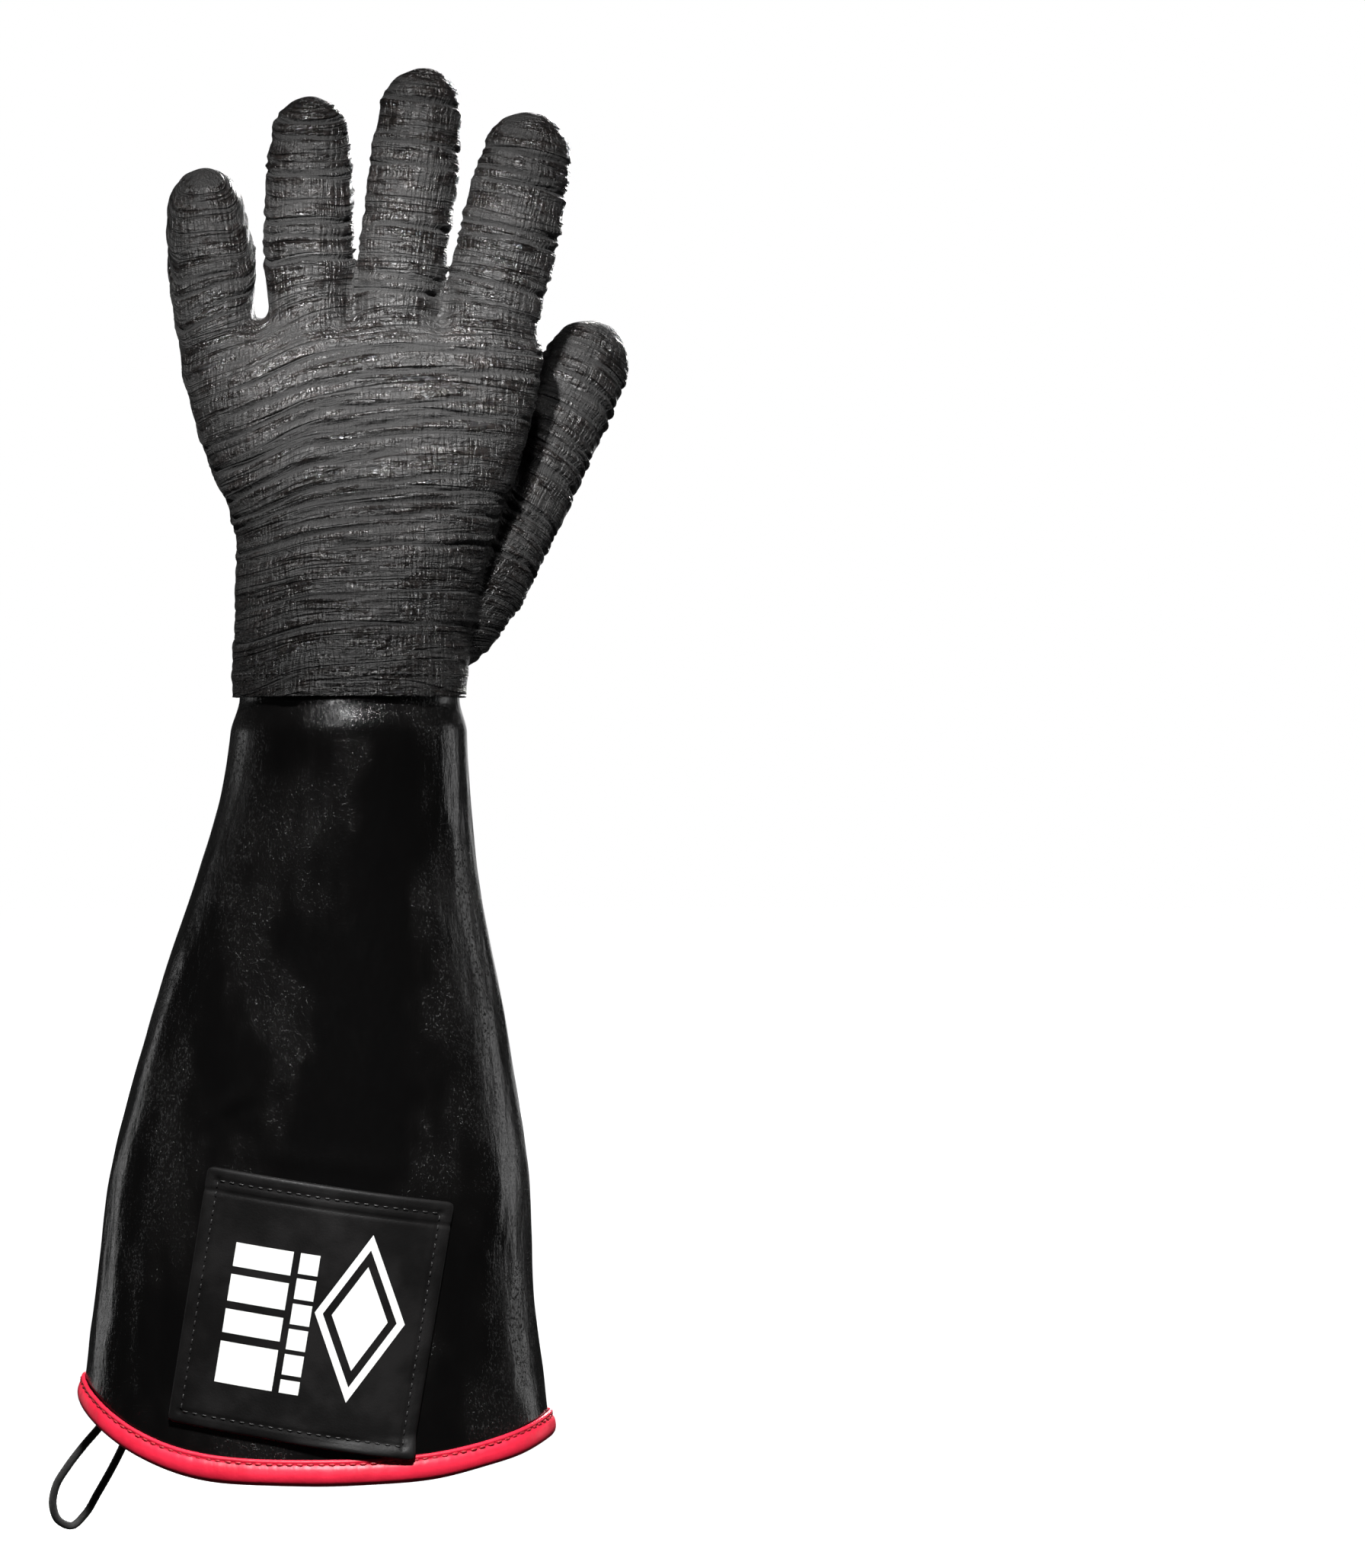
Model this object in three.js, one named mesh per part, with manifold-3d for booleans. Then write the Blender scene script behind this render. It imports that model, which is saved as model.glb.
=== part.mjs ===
// A left-hand heat resistant gauntlet glove, in millimetres.
// The cuff opening is at the bottom and the fingers point along +Z. +X is the thumb side and
// +Y the palm side, so the back of the hand faces -Y. The origin is the middle of the cuff
// opening, where the wearer's forearm goes in.
//
// The hand is a coated knit shell with a cotton lining inside it. Both are flexible sheets on
// the real glove, so here each is cut by a wedge at every place where the glove bends, and the
// wedge leaves room for that bend.
import * as THREE from "three";
import Module from "manifold-3d";
import { mergeVertices } from "three/addons/utils/BufferGeometryUtils.js";

const wasm = await Module();
wasm.setup();

// Layers, from the outside in. A gap keeps neighbouring layers apart.
const GAP = 0.3;
const SHELL = 2.0;
const CUFF_SHEET = 1.8;
const CUFF_GAP = 0.6;
const HAND_LINING = 1.5;
const CUFF_LINING = 1.2;
const TAPE = 1.2;
const HAND_LINING_FACE = -(SHELL + GAP);
const CUFF_LINING_FACE = -(CUFF_SHEET + CUFF_GAP);

// How finely curved surfaces are divided.
const SLEEVE_SIDES = 24;
const DIGIT_SIDES = 12;
const SLEEVE_ANGLES = Array.from({ length: SLEEVE_SIDES }, (_, i) => (i * 2 * Math.PI) / SLEEVE_SIDES);

// Sleeve and palm sections: height z, centre x, half width, half depth, and how square the
// section is (2 is an ellipse).
const SLEEVE = [
  { z: -6, x: 0.0, width: 78.0, depth: 47.0, square: 2 },
  { z: 16, x: 0.0, width: 75.5, depth: 46.0, square: 2 },
  { z: 54, x: 0.2, width: 70.8, depth: 45.0, square: 2 },
  { z: 91, x: 1.6, width: 67.8, depth: 44.0, square: 2 },
  { z: 141, x: 4.3, width: 57.8, depth: 41.0, square: 2 },
  { z: 192, x: 7.7, width: 44.9, depth: 37.0, square: 2 },
  { z: 217, x: 10.2, width: 40.0, depth: 35.5, square: 2 },
  { z: 239, x: 11.2, width: 38.0, depth: 35.0, square: 2 },
  { z: 257, x: 11.6, width: 37.9, depth: 33.5, square: 2 },
  { z: 287, x: 14.5, width: 40.0, depth: 29.5, square: 2.1 },
  { z: 300, x: 16.5, width: 42.0, depth: 28.0, square: 2.2 },
  { z: 330, x: 16.0, width: 52.5, depth: 25.0, square: 2.3 },
  { z: 345, x: 15.5, width: 56.5, depth: 23.0, square: 2.3 },
  { z: 356, x: 15.2, width: 58.3, depth: 20.0, square: 2.3 },
  { z: 363, x: 15.4, width: 57.5, depth: 16.0, square: 2.3 },
];
const PALM_TOP = { z: 368, x: 15.4, width: 54.0, depth: 8.0, square: 2.3 };

// The hem rises at both ends, and further towards the little finger.
const HEM_LITTLE_END_RISE = 22;
const HEM_THUMB_END_RISE = 10;
const hemHeight = (angle) => {
  const rise = Math.cos(angle) < 0 ? HEM_LITTLE_END_RISE : HEM_THUMB_END_RISE;
  return rise * Math.abs(Math.cos(angle)) ** 3;
};

// Where the sleeve's pieces meet.
const HAND_EDGE_Z = 247.5; // the hand shell's edge, which overlaps the cuff
const CUFF_TOP_Z = 256.5;
const TUCK_START_Z = 225; // from here the cuff narrows to go inside the hand shell
const TUCK_END_Z = 246;
const WRIST_Z = 268;
const WRIST_STITCH_Z = 254.5;
const BINDING_HEIGHT = 7.2;
const HEM_STITCH_HEIGHT = 5.8;
const THREAD_RADIUS = 0.45;

// Digits: where the axis starts, its direction, the direction square to its hinges, the way the
// pulp faces, the length, the half width and half depth at distances along it, and its two
// bends. A bend's depth is how far its hinge lies from the digit's axis towards the pulp.
const PALMWARD = new THREE.Vector3(0, 1, 0);
const leaning = (degrees) =>
  new THREE.Vector3(0, 0, 1).applyAxisAngle(PALMWARD, THREE.MathUtils.degToRad(degrees));
// A finger's hinges lean half as far as the finger does, so that curled fingers don't cross.
const splayed = (degrees) => ({ direction: leaning(degrees), hingeSquare: leaning(degrees / 2) });
const THUMB_DIRECTION = new THREE.Vector3(46.8, 31, 98.5).normalize();
const ROOT_Z = 335;
const FINGER_CURL = 0.0007; // bow of a finger's axis towards the palm, per mm squared
const BASE_BEND = { flex: 60, extend: 10, depth: 6 };
const TIP_BEND = { flex: 60, extend: 0, depth: 5 };

const DIGITS = [
  {
    name: "index",
    root: new THREE.Vector3(48.9, 0, ROOT_Z),
    ...splayed(12.6),
    pulp: PALMWARD,
    curl: FINGER_CURL,
    length: 105,
    dome: 14,
    stations: [[0, 9, 8], [30, 15.6, 13.5], [50, 16.4, 14.2], [78, 15.8, 14], [91, 14.2, 13]],
    bends: [{ at: 48, ...BASE_BEND }, { at: 75, ...TIP_BEND }],
  },
  {
    name: "middle",
    root: new THREE.Vector3(22.0, 0, ROOT_Z),
    ...splayed(6.7),
    pulp: PALMWARD,
    curl: FINGER_CURL,
    length: 118,
    dome: 14,
    stations: [[0, 9, 8], [30, 14, 13.5], [55, 14.6, 14], [90, 14.4, 13.6], [104, 13.2, 12.8]],
    bends: [{ at: 48, ...BASE_BEND }, { at: 81, ...TIP_BEND }],
  },
  {
    name: "ring",
    root: new THREE.Vector3(-2.0, 0, ROOT_Z),
    ...splayed(0),
    pulp: PALMWARD,
    curl: FINGER_CURL,
    length: 108,
    dome: 14,
    stations: [[0, 9, 8], [30, 14.2, 13.3], [55, 14.8, 13.8], [80, 14.4, 13.5], [94, 13, 12.6]],
    bends: [{ at: 47, ...BASE_BEND }, { at: 76, ...TIP_BEND }],
  },
  {
    name: "little",
    root: new THREE.Vector3(-28.1, 0, ROOT_Z),
    ...splayed(-5.8),
    pulp: PALMWARD,
    curl: FINGER_CURL,
    length: 84.5,
    dome: 14,
    stations: [[0, 8, 7], [30, 13.6, 12.8], [45, 14.2, 13], [58, 14.2, 12.8], [70.5, 12.6, 12]],
    bends: [{ at: 45, ...BASE_BEND, depth: 5 }, { at: 63, ...TIP_BEND, depth: 4 }],
  },
  {
    name: "thumb",
    root: new THREE.Vector3(39, 8, 257),
    direction: THUMB_DIRECTION,
    hingeSquare: THUMB_DIRECTION,
    pulp: new THREE.Vector3(-0.744, 0.648, 0.15),
    curl: 0,
    length: 131.8,
    dome: 15,
    stations: [[0, 6, 6], [14, 13, 12], [30, 16, 14.5], [60, 16.5, 15], [90, 16, 14.8], [116.8, 14.6, 13.8]],
    bends: [{ at: 78, flex: 40, extend: 10, depth: 6 }, { at: 104, flex: 50, extend: 0, depth: 5 }],
  },
];
const WRIST_BEND = { flex: 35, extend: 25 };

// The stitched label on the back of the cuff.
const LABEL = { width: 77, height: 81.5, thickness: 1.2, x: 1.6, z: 52.9, turn: -9, stitchInset: 3 };
const LABEL_STAND_OFF = GAP + TAPE + GAP + 2 * THREAD_RADIUS + GAP; // clear of the hem's thread

// The hanging loop: the two points where it leaves the hem, and its centreline between them.
const CORD_DIAMETER = 2.6;
const CORD_SIDES = 8;
const CORD_STEPS = 36;
const LOOP_ROUTE = [
  [-65.4, 4.6, 20.6],
  [-65.8, 4.6, 17.2],
  [-69.6, 4.6, 11.6],
  [-75.2, 5.0, 5.0],
  [-80.6, 5.8, -2.0],
  [-84.6, 7.2, -8.6],
  [-85.8, 9.2, -15.4],
  [-84.2, 11.6, -20.4],
  [-80.2, 13.8, -22.4],
  [-76.2, 15.4, -19.0],
  [-72.0, 16.4, -12.0],
  [-67.8, 17.0, -4.6],
  [-64.0, 17.3, 3.0],
  [-61.2, 17.2, 9.6],
  [-60.1, 16.9, 13.4],
  [-60.0, 16.9, 16.6],
];
const ANCHOR_LENGTH = 15;
const ANCHOR_GAP = 1.2; // room for the end of the cord to turn as the loop swings

// ---- Geometry helpers ----

// A three.js geometry as a manifold-3d solid.
function solid(geometry) {
  const bare = geometry.clone();
  bare.deleteAttribute("normal");
  bare.deleteAttribute("uv");
  const merged = mergeVertices(bare, 1e-4);
  return new wasm.Manifold(
    new wasm.Mesh({
      numProp: 3,
      vertProperties: merged.attributes.position.array,
      triVerts: new Uint32Array(merged.index.array),
    }),
  );
}

// A manifold-3d solid as a three.js geometry, without the slivers that cutting leaves.
function geometryOf(made) {
  const SLIVER = 0.02;
  const mesh = made.simplify(SLIVER).getMesh();
  return new THREE.BufferGeometry()
    .setAttribute("position", new THREE.BufferAttribute(mesh.vertProperties, 3))
    .setIndex(new THREE.BufferAttribute(mesh.triVerts, 1));
}

const unite = (solids) => solids.reduce((all, one) => all.add(one));

// A surface through rings of points. It closes on itself when wrap is true, and is capped if not.
function skin(rings, wrap = false) {
  const sides = rings[0].length;
  const points = rings.flat();
  const faces = [];
  const spans = wrap ? rings.length : rings.length - 1;
  for (let k = 0; k < spans; k++) {
    const low = k * sides;
    const high = ((k + 1) % rings.length) * sides;
    for (let i = 0; i < sides; i++) {
      const j = (i + 1) % sides;
      faces.push(low + i, low + j, high + j, low + i, high + j, high + i);
    }
  }
  if (!wrap) {
    const last = (rings.length - 1) * sides;
    const bottom = points.length;
    const top = bottom + 1;
    for (const ring of [rings[0], rings[rings.length - 1]])
      points.push(ring.reduce((sum, p) => sum.add(p), new THREE.Vector3()).divideScalar(sides));
    for (let i = 0; i < sides; i++) {
      const j = (i + 1) % sides;
      faces.push(bottom, j, i, top, last + i, last + j);
    }
  }
  return new THREE.BufferGeometry().setFromPoints(points).setIndex(faces);
}

// The value of a row of numbers at a place between two stations.
function between(stations, key, at, names) {
  const last = stations.length - 1;
  const k = stations.findIndex((s, i) => i === last - 1 || stations[i + 1][key] >= at);
  const share = (at - stations[k][key]) / (stations[k + 1][key] - stations[k][key]);
  return names.map((n) => THREE.MathUtils.lerp(stations[k][n], stations[k + 1][n], share));
}

// ---- Sleeve and palm ----

const rounded = (c, power) => Math.sign(c) * Math.abs(c) ** (2 / power);

// A point on the sleeve at an angle from the thumb side, moved out by an offset.
function sleevePoint(angle, z, offset = 0) {
  const [x, width, depth, square] = between(SLEEVE, "z", z, ["x", "width", "depth", "square"]);
  return new THREE.Vector3(
    x + (width + offset) * rounded(Math.cos(angle), square),
    (depth + offset) * rounded(Math.sin(angle), square),
    z,
  );
}

const sleeveRing = (z, offset) => SLEEVE_ANGLES.map((angle) => sleevePoint(angle, z, offset));

const stationsBetween = (low, high) => SLEEVE.map((s) => s.z).filter((z) => z > low && z < high);

// The solid inside the sleeve and palm from a height up to the finger webs.
function palmBlock(bottom, offset) {
  const rings = [bottom, ...stationsBetween(bottom, ROOT_Z + 30)].map((z) => sleeveRing(z, offset));
  const top = SLEEVE_ANGLES.map(
    (angle) =>
      new THREE.Vector3(
        PALM_TOP.x + (PALM_TOP.width + offset) * rounded(Math.cos(angle), PALM_TOP.square),
        (PALM_TOP.depth + offset) * rounded(Math.sin(angle), PALM_TOP.square),
        PALM_TOP.z + offset,
      ),
  );
  return solid(skin([...rings, top]));
}

// A closed band round the sleeve. Each corner of its section says how far out it is and how
// high, as a function of the angle.
function band(corners) {
  const rings = SLEEVE_ANGLES.map((angle) =>
    corners.map(({ out, height }) => sleevePoint(angle, height(angle), out)),
  );
  return skin(rings.reverse(), true);
}

// A tubular layer of the cuff between two offsets, from the hem to a top height. Near the top
// it narrows to pass inside the hand shell.
function cuffLayer(outer, inner, lift, top) {
  const tuck = SHELL + GAP;
  const OVER_THE_HEM = 34; // higher than the hem and its binding all the way round
  const levels = [OVER_THE_HEM, ...stationsBetween(OVER_THE_HEM, top), HAND_EDGE_Z - GAP, top];
  levels.sort((p, q) => p - q);
  const narrowing = (z) => tuck * THREE.MathUtils.smoothstep(z, TUCK_START_Z, TUCK_END_Z);
  const wall = (offset) => [
    { out: offset, height: (angle) => hemHeight(angle) + lift },
    ...levels.map((z) => ({ out: offset - narrowing(z), height: () => z })),
  ];
  return band([...wall(outer), ...wall(inner).reverse()]);
}

// The folded tape over the cuff's edge: an outer wall, a bottom and an inner wall.
function hemBinding() {
  const inside = CUFF_LINING_FACE - CUFF_LINING;
  const at = (rise) => (angle) => hemHeight(angle) + rise;
  return band([
    { out: GAP, height: at(BINDING_HEIGHT) },
    { out: GAP, height: at(TAPE) },
    { out: inside - GAP, height: at(TAPE) },
    { out: inside - GAP, height: at(BINDING_HEIGHT) },
    { out: inside - GAP - TAPE, height: at(BINDING_HEIGHT) },
    { out: inside - GAP - TAPE, height: at(0) },
    { out: GAP + TAPE, height: at(0) },
    { out: GAP + TAPE, height: at(BINDING_HEIGHT) },
  ]);
}

// A thread laid round the sleeve just outside an offset.
function threadRing(offset, height) {
  const SECTION = 6;
  const corners = Array.from({ length: SECTION }, (_, i) => {
    const turn = (i * 2 * Math.PI) / SECTION;
    return {
      out: offset + THREAD_RADIUS * (1 + Math.cos(turn)),
      height: (angle) => height(angle) + THREAD_RADIUS * Math.sin(turn),
    };
  });
  return band(corners);
}

// ---- Digits ----

// One section of a digit, moved in or out by an offset.
function digitRing(digit, along, offset) {
  const stations = digit.stations.map(([at, width, depth]) => ({ at, width, depth }));
  const domeStart = digit.length - digit.dome;
  const end = digit.length + offset;
  const into = THREE.MathUtils.clamp((along - domeStart) / (end - domeStart), 0, 1);
  const shrink = Math.sqrt(1 - into * into);
  const [width, depth] = between(stations, "at", Math.min(along, domeStart), ["width", "depth"]);
  const across = digit.pulp.clone().cross(digit.direction);
  const centre = digitPoint(digit, along);
  return Array.from({ length: DIGIT_SIDES }, (_, i) => {
    const angle = (i * 2 * Math.PI) / DIGIT_SIDES;
    return centre
      .clone()
      .addScaledVector(across, (width + offset) * shrink * Math.cos(angle))
      .addScaledVector(digit.pulp, (depth + offset) * shrink * Math.sin(angle));
  });
}

// A point on a digit's axis, which bows towards the pulp.
function digitPoint(digit, along) {
  return digit.root
    .clone()
    .addScaledVector(digit.direction, along)
    .addScaledVector(digit.pulp, digit.curl * along * along);
}

function digitBlock(digit, offset) {
  const DOME_SHARES = [0.45, 0.8, 0.97];
  const domeStart = digit.length - digit.dome;
  const ends = DOME_SHARES.map((share) => domeStart + share * (digit.dome + offset));
  const rings = [...digit.stations.map(([at]) => at), ...ends];
  return solid(skin(rings.map((along) => digitRing(digit, along, offset))));
}

// ---- Bends ----

// The hourglass-shaped block cut out at a hinge, so that the pieces on both sides can close on
// the flexing side and, less far, on the other. reach is how far it goes from the hinge.
function wedge({ hinge, direction, pulp, flex, extend, reach, halfLength }) {
  const SLOT = 0.3;
  const CLEARANCE_DEGREES = 1;
  const opening = (degrees) =>
    reach * Math.tan(THREE.MathUtils.degToRad(degrees / 2 + CLEARANCE_DEGREES)) + SLOT;
  const outline = new THREE.Shape([
    new THREE.Vector2(-SLOT, 0),
    new THREE.Vector2(-opening(extend), -reach),
    new THREE.Vector2(opening(extend), -reach),
    new THREE.Vector2(SLOT, 0),
    new THREE.Vector2(opening(flex), reach),
    new THREE.Vector2(-opening(flex), reach),
  ]);
  const block = new THREE.ExtrudeGeometry(outline, { depth: 2 * halfLength, bevelEnabled: false });
  block.translate(0, 0, -halfLength);
  const hingeAxis = direction.clone().cross(pulp);
  block.applyMatrix4(new THREE.Matrix4().makeBasis(direction, pulp, hingeAxis).setPosition(hinge));
  return solid(block);
}

const hingeOf = (digit, bend) => digitPoint(digit, bend.at).addScaledVector(digit.pulp, bend.depth);

// A digit's wedges cut no further than just outside the digit, to leave its neighbours whole.
function digitWedges(digit) {
  const wedges = digit.bends.map((bend) =>
    wedge({
      hinge: hingeOf(digit, bend),
      direction: digit.hingeSquare,
      pulp: digit.pulp,
      flex: bend.flex,
      extend: bend.extend,
      reach: 26,
      halfLength: 24,
    }),
  );
  return unite(wedges).intersect(digitBlock(digit, 2));
}
const wristWedge = wedge({
  hinge: new THREE.Vector3(0, 0, WRIST_Z),
  direction: new THREE.Vector3(0, 0, 1),
  pulp: PALMWARD,
  ...WRIST_BEND,
  reach: 60,
  halfLength: 90,
});
const allWedges = unite([...DIGITS.map(digitWedges), wristWedge]);

// A layer of the whole hand between two offsets, cut apart at every bend.
function handLayer(outer, inner, bottom) {
  const block = (offset, low) =>
    unite([palmBlock(low, offset), ...DIGITS.map((digit) => digitBlock(digit, offset))]);
  const below = new THREE.BoxGeometry(200, 200, 100);
  below.translate(0, 0, bottom - 50);
  return block(outer, bottom).subtract(block(inner, bottom - 20)).subtract(solid(below)).subtract(allWedges);
}

// The pieces that the bends cut the hand into, and the middle of each.
const HAND_SEGMENTS = [
  { name: "hand", middle: new THREE.Vector3(16, 0, 315) },
  ...DIGITS.flatMap((digit) => {
    const [base, tip] = digit.bends.map((bend) => bend.at);
    return [
      { name: `${digit.name}_base`, middle: digitPoint(digit, (base + tip) / 2) },
      { name: `${digit.name}_tip`, middle: digitPoint(digit, (tip + digit.length) / 2) },
    ];
  }),
];
const WRIST_SEGMENT = { name: "wrist", middle: new THREE.Vector3(11.5, 0, (HAND_EDGE_Z + WRIST_Z) / 2) };

// Names the loose piece of a layer that is nearest to each segment's middle.
function namedPieces(layer, segments, suffix) {
  const pieces = layer.decompose();
  const boxCentre = (piece) => {
    const { min, max } = piece.boundingBox();
    return new THREE.Vector3(...min).add(new THREE.Vector3(...max)).multiplyScalar(0.5);
  };
  return segments.map(({ name, middle }) => {
    const nearest = (p, q) =>
      boxCentre(p).distanceTo(middle) < boxCentre(q).distanceTo(middle) ? p : q;
    return { name: `${name}_${suffix}`, geometry: geometryOf(pieces.reduce(nearest)) };
  });
}

// ---- Label ----

// A point of the label, measured across and up from its middle, at a height over its back. It
// clears the hem binding, which one of its corners laps over.
function labelPoint(across, up, height) {
  const turned = new THREE.Vector2(across, up).rotateAround(
    new THREE.Vector2(),
    THREE.MathUtils.degToRad(LABEL.turn),
  );
  const x = LABEL.x + turned.x;
  const z = LABEL.z + turned.y;
  const [centre, width] = between(SLEEVE, "z", z, ["x", "width"]);
  const angle = -Math.acos((x - centre) / width);
  return sleevePoint(angle, z, LABEL_STAND_OFF + height);
}

function labelPatch() {
  const COLUMNS = 10;
  const ROWS = 8;
  const points = [];
  for (const height of [0, LABEL.thickness])
    for (let r = 0; r <= ROWS; r++)
      for (let c = 0; c <= COLUMNS; c++)
        points.push(
          labelPoint((c / COLUMNS - 0.5) * LABEL.width, (r / ROWS - 0.5) * LABEL.height, height),
        );
  const back = (c, r) => r * (COLUMNS + 1) + c;
  const front = (c, r) => back(c, r) + (COLUMNS + 1) * (ROWS + 1);
  const faces = [];
  const quad = (p, q, r, s) => faces.push(p, q, r, p, r, s);
  for (let r = 0; r < ROWS; r++)
    for (let c = 0; c < COLUMNS; c++) {
      quad(front(c, r), front(c + 1, r), front(c + 1, r + 1), front(c, r + 1));
      quad(back(c, r), back(c, r + 1), back(c + 1, r + 1), back(c + 1, r));
    }
  for (let c = 0; c < COLUMNS; c++) {
    quad(back(c, 0), back(c + 1, 0), front(c + 1, 0), front(c, 0));
    quad(front(c, ROWS), front(c + 1, ROWS), back(c + 1, ROWS), back(c, ROWS));
  }
  for (let r = 0; r < ROWS; r++) {
    quad(front(0, r), front(0, r + 1), back(0, r + 1), back(0, r));
    quad(back(COLUMNS, r), back(COLUMNS, r + 1), front(COLUMNS, r + 1), front(COLUMNS, r));
  }
  return new THREE.BufferGeometry().setFromPoints(points).setIndex(faces);
}

// The thread round the label, a little inside its edge.
function labelStitching() {
  const w = LABEL.width / 2 - LABEL.stitchInset;
  const h = LABEL.height / 2 - LABEL.stitchInset;
  const corners = [[-w, -h], [w, -h], [w, h], [-w, h]].map((c) => new THREE.Vector2(...c));
  const PER_SIDE = 8;
  const route = corners.flatMap((corner, i) =>
    Array.from({ length: PER_SIDE }, (_, k) =>
      corner.clone().lerp(corners[(i + 1) % corners.length], k / PER_SIDE),
    ),
  );
  const half = THREAD_RADIUS;
  const low = LABEL.thickness + GAP;
  const rings = route.map((place) => {
    const share = half / Math.max(Math.abs(place.x), Math.abs(place.y));
    const inner = place.clone().multiplyScalar(1 - share);
    const outer = place.clone().multiplyScalar(1 + share);
    return [
      labelPoint(inner.x, inner.y, low),
      labelPoint(outer.x, outer.y, low),
      labelPoint(outer.x, outer.y, low + 2 * half),
      labelPoint(inner.x, inner.y, low + 2 * half),
    ].reverse();
  });
  return skin(rings, true);
}

// ---- Hanging loop ----

function hangingLoop() {
  const route = new THREE.CatmullRomCurve3(LOOP_ROUTE.map((p) => new THREE.Vector3(...p)));
  const section = new THREE.Shape(
    Array.from({ length: CORD_SIDES }, (_, i) => {
      const angle = ((i + 0.5) * 2 * Math.PI) / CORD_SIDES;
      return new THREE.Vector2(Math.cos(angle), Math.sin(angle)).multiplyScalar(CORD_DIAMETER / 2);
    }),
  );
  return new THREE.ExtrudeGeometry(section, { steps: CORD_STEPS, extrudePath: route });
}

// One sewn end of the loop, inside the hem and above the point where the cord leaves it.
function loopAnchor([x, y, z]) {
  const WIDTH = 4;
  const { width, depth } = SLEEVE[1];
  const block = new THREE.BoxGeometry(CORD_DIAMETER, WIDTH, ANCHOR_LENGTH);
  block.rotateZ(Math.atan2(y / depth ** 2, x / width ** 2));
  block.translate(x, y, z + ANCHOR_GAP + ANCHOR_LENGTH / 2);
  return block;
}

// ---- Assembly ----

const NEOPRENE = new THREE.MeshStandardMaterial({ color: 0x1c1a19, roughness: 0.5, metalness: 0 });
const GLOSSY_NEOPRENE = new THREE.MeshStandardMaterial({ color: 0x0d0c0c, roughness: 0.2, metalness: 0 });
const COTTON = new THREE.MeshStandardMaterial({ color: 0xb9b4a6, roughness: 0.95, metalness: 0 });
const RED_TAPE = new THREE.MeshStandardMaterial({ color: 0xe0202f, roughness: 0.55, metalness: 0 });
const RED_THREAD = new THREE.MeshStandardMaterial({ color: 0xa8101c, roughness: 0.7, metalness: 0 });
const BLACK_THREAD = new THREE.MeshStandardMaterial({ color: 0x101010, roughness: 0.7, metalness: 0 });
const RUBBER_PATCH = new THREE.MeshStandardMaterial({ color: 0x141414, roughness: 0.6, metalness: 0 });
const BLACK_CORD = new THREE.MeshStandardMaterial({ color: 0x0c0c0c, roughness: 0.8, metalness: 0 });

const glove = new THREE.Group();

function place(name, geometry, material) {
  const mesh = new THREE.Mesh(geometry, material);
  mesh.name = name;
  glove.add(mesh);
}

const handShell = handLayer(0, -SHELL, HAND_EDGE_Z);
for (const { name, geometry } of namedPieces(handShell, [WRIST_SEGMENT, ...HAND_SEGMENTS], "shell"))
  place(name, geometry, NEOPRENE);
const handLining = handLayer(HAND_LINING_FACE, HAND_LINING_FACE - HAND_LINING, WRIST_Z);
for (const { name, geometry } of namedPieces(handLining, HAND_SEGMENTS, "lining"))
  place(name, geometry, COTTON);

place("cuff_shell", cuffLayer(0, -CUFF_SHEET, TAPE + GAP, CUFF_TOP_Z), GLOSSY_NEOPRENE);
place(
  "cuff_lining",
  cuffLayer(CUFF_LINING_FACE, CUFF_LINING_FACE - CUFF_LINING, TAPE + GAP, CUFF_TOP_Z - 1),
  COTTON,
);
place("hem_binding", hemBinding(), RED_TAPE);
place(
  "hem_stitching",
  threadRing(GAP + TAPE + GAP, (angle) => hemHeight(angle) + HEM_STITCH_HEIGHT),
  RED_THREAD,
);
place("wrist_stitching", threadRing(GAP, () => WRIST_STITCH_Z), BLACK_THREAD);
place("label_patch", labelPatch(), RUBBER_PATCH);
place("label_stitching", labelStitching(), BLACK_THREAD);
place("hanging_loop", hangingLoop(), BLACK_CORD);
place("loop_anchor_front", loopAnchor(LOOP_ROUTE[0]), BLACK_CORD);
place("loop_anchor_rear", loopAnchor(LOOP_ROUTE[LOOP_ROUTE.length - 1]), BLACK_CORD);

export default glove;
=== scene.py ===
"""Left-hand heat resistant glove, seen from its back: textured neoprene hand, glossy gauntlet cuff
with a red bound hem, a stitched label and a hanging loop.

Lengths are in millimetres up to the point where a mesh is made. Angles round the sleeve start at the
thumb side and turn towards the palm, so that the back of the hand is at -90 degrees."""

import math

import bpy
import numpy as np
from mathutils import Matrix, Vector


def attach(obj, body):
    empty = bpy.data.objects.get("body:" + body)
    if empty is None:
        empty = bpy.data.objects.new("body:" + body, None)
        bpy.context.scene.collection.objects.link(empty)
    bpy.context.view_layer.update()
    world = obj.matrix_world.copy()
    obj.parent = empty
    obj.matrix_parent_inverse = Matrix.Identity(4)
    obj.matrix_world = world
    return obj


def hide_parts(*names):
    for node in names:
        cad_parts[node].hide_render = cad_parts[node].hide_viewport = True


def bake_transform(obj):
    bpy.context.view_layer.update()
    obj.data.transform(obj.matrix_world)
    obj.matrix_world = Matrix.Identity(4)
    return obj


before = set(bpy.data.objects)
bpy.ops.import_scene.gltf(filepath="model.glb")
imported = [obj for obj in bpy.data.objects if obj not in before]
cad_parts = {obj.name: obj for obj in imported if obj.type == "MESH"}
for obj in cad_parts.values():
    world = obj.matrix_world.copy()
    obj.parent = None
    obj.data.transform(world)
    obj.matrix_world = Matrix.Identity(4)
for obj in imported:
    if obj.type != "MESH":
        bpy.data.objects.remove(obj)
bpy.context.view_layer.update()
scene = bpy.context.scene
random = np.random.default_rng(41)
MM = 0.001
TURN = 2 * math.pi

# ---- Camera ----

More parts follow.
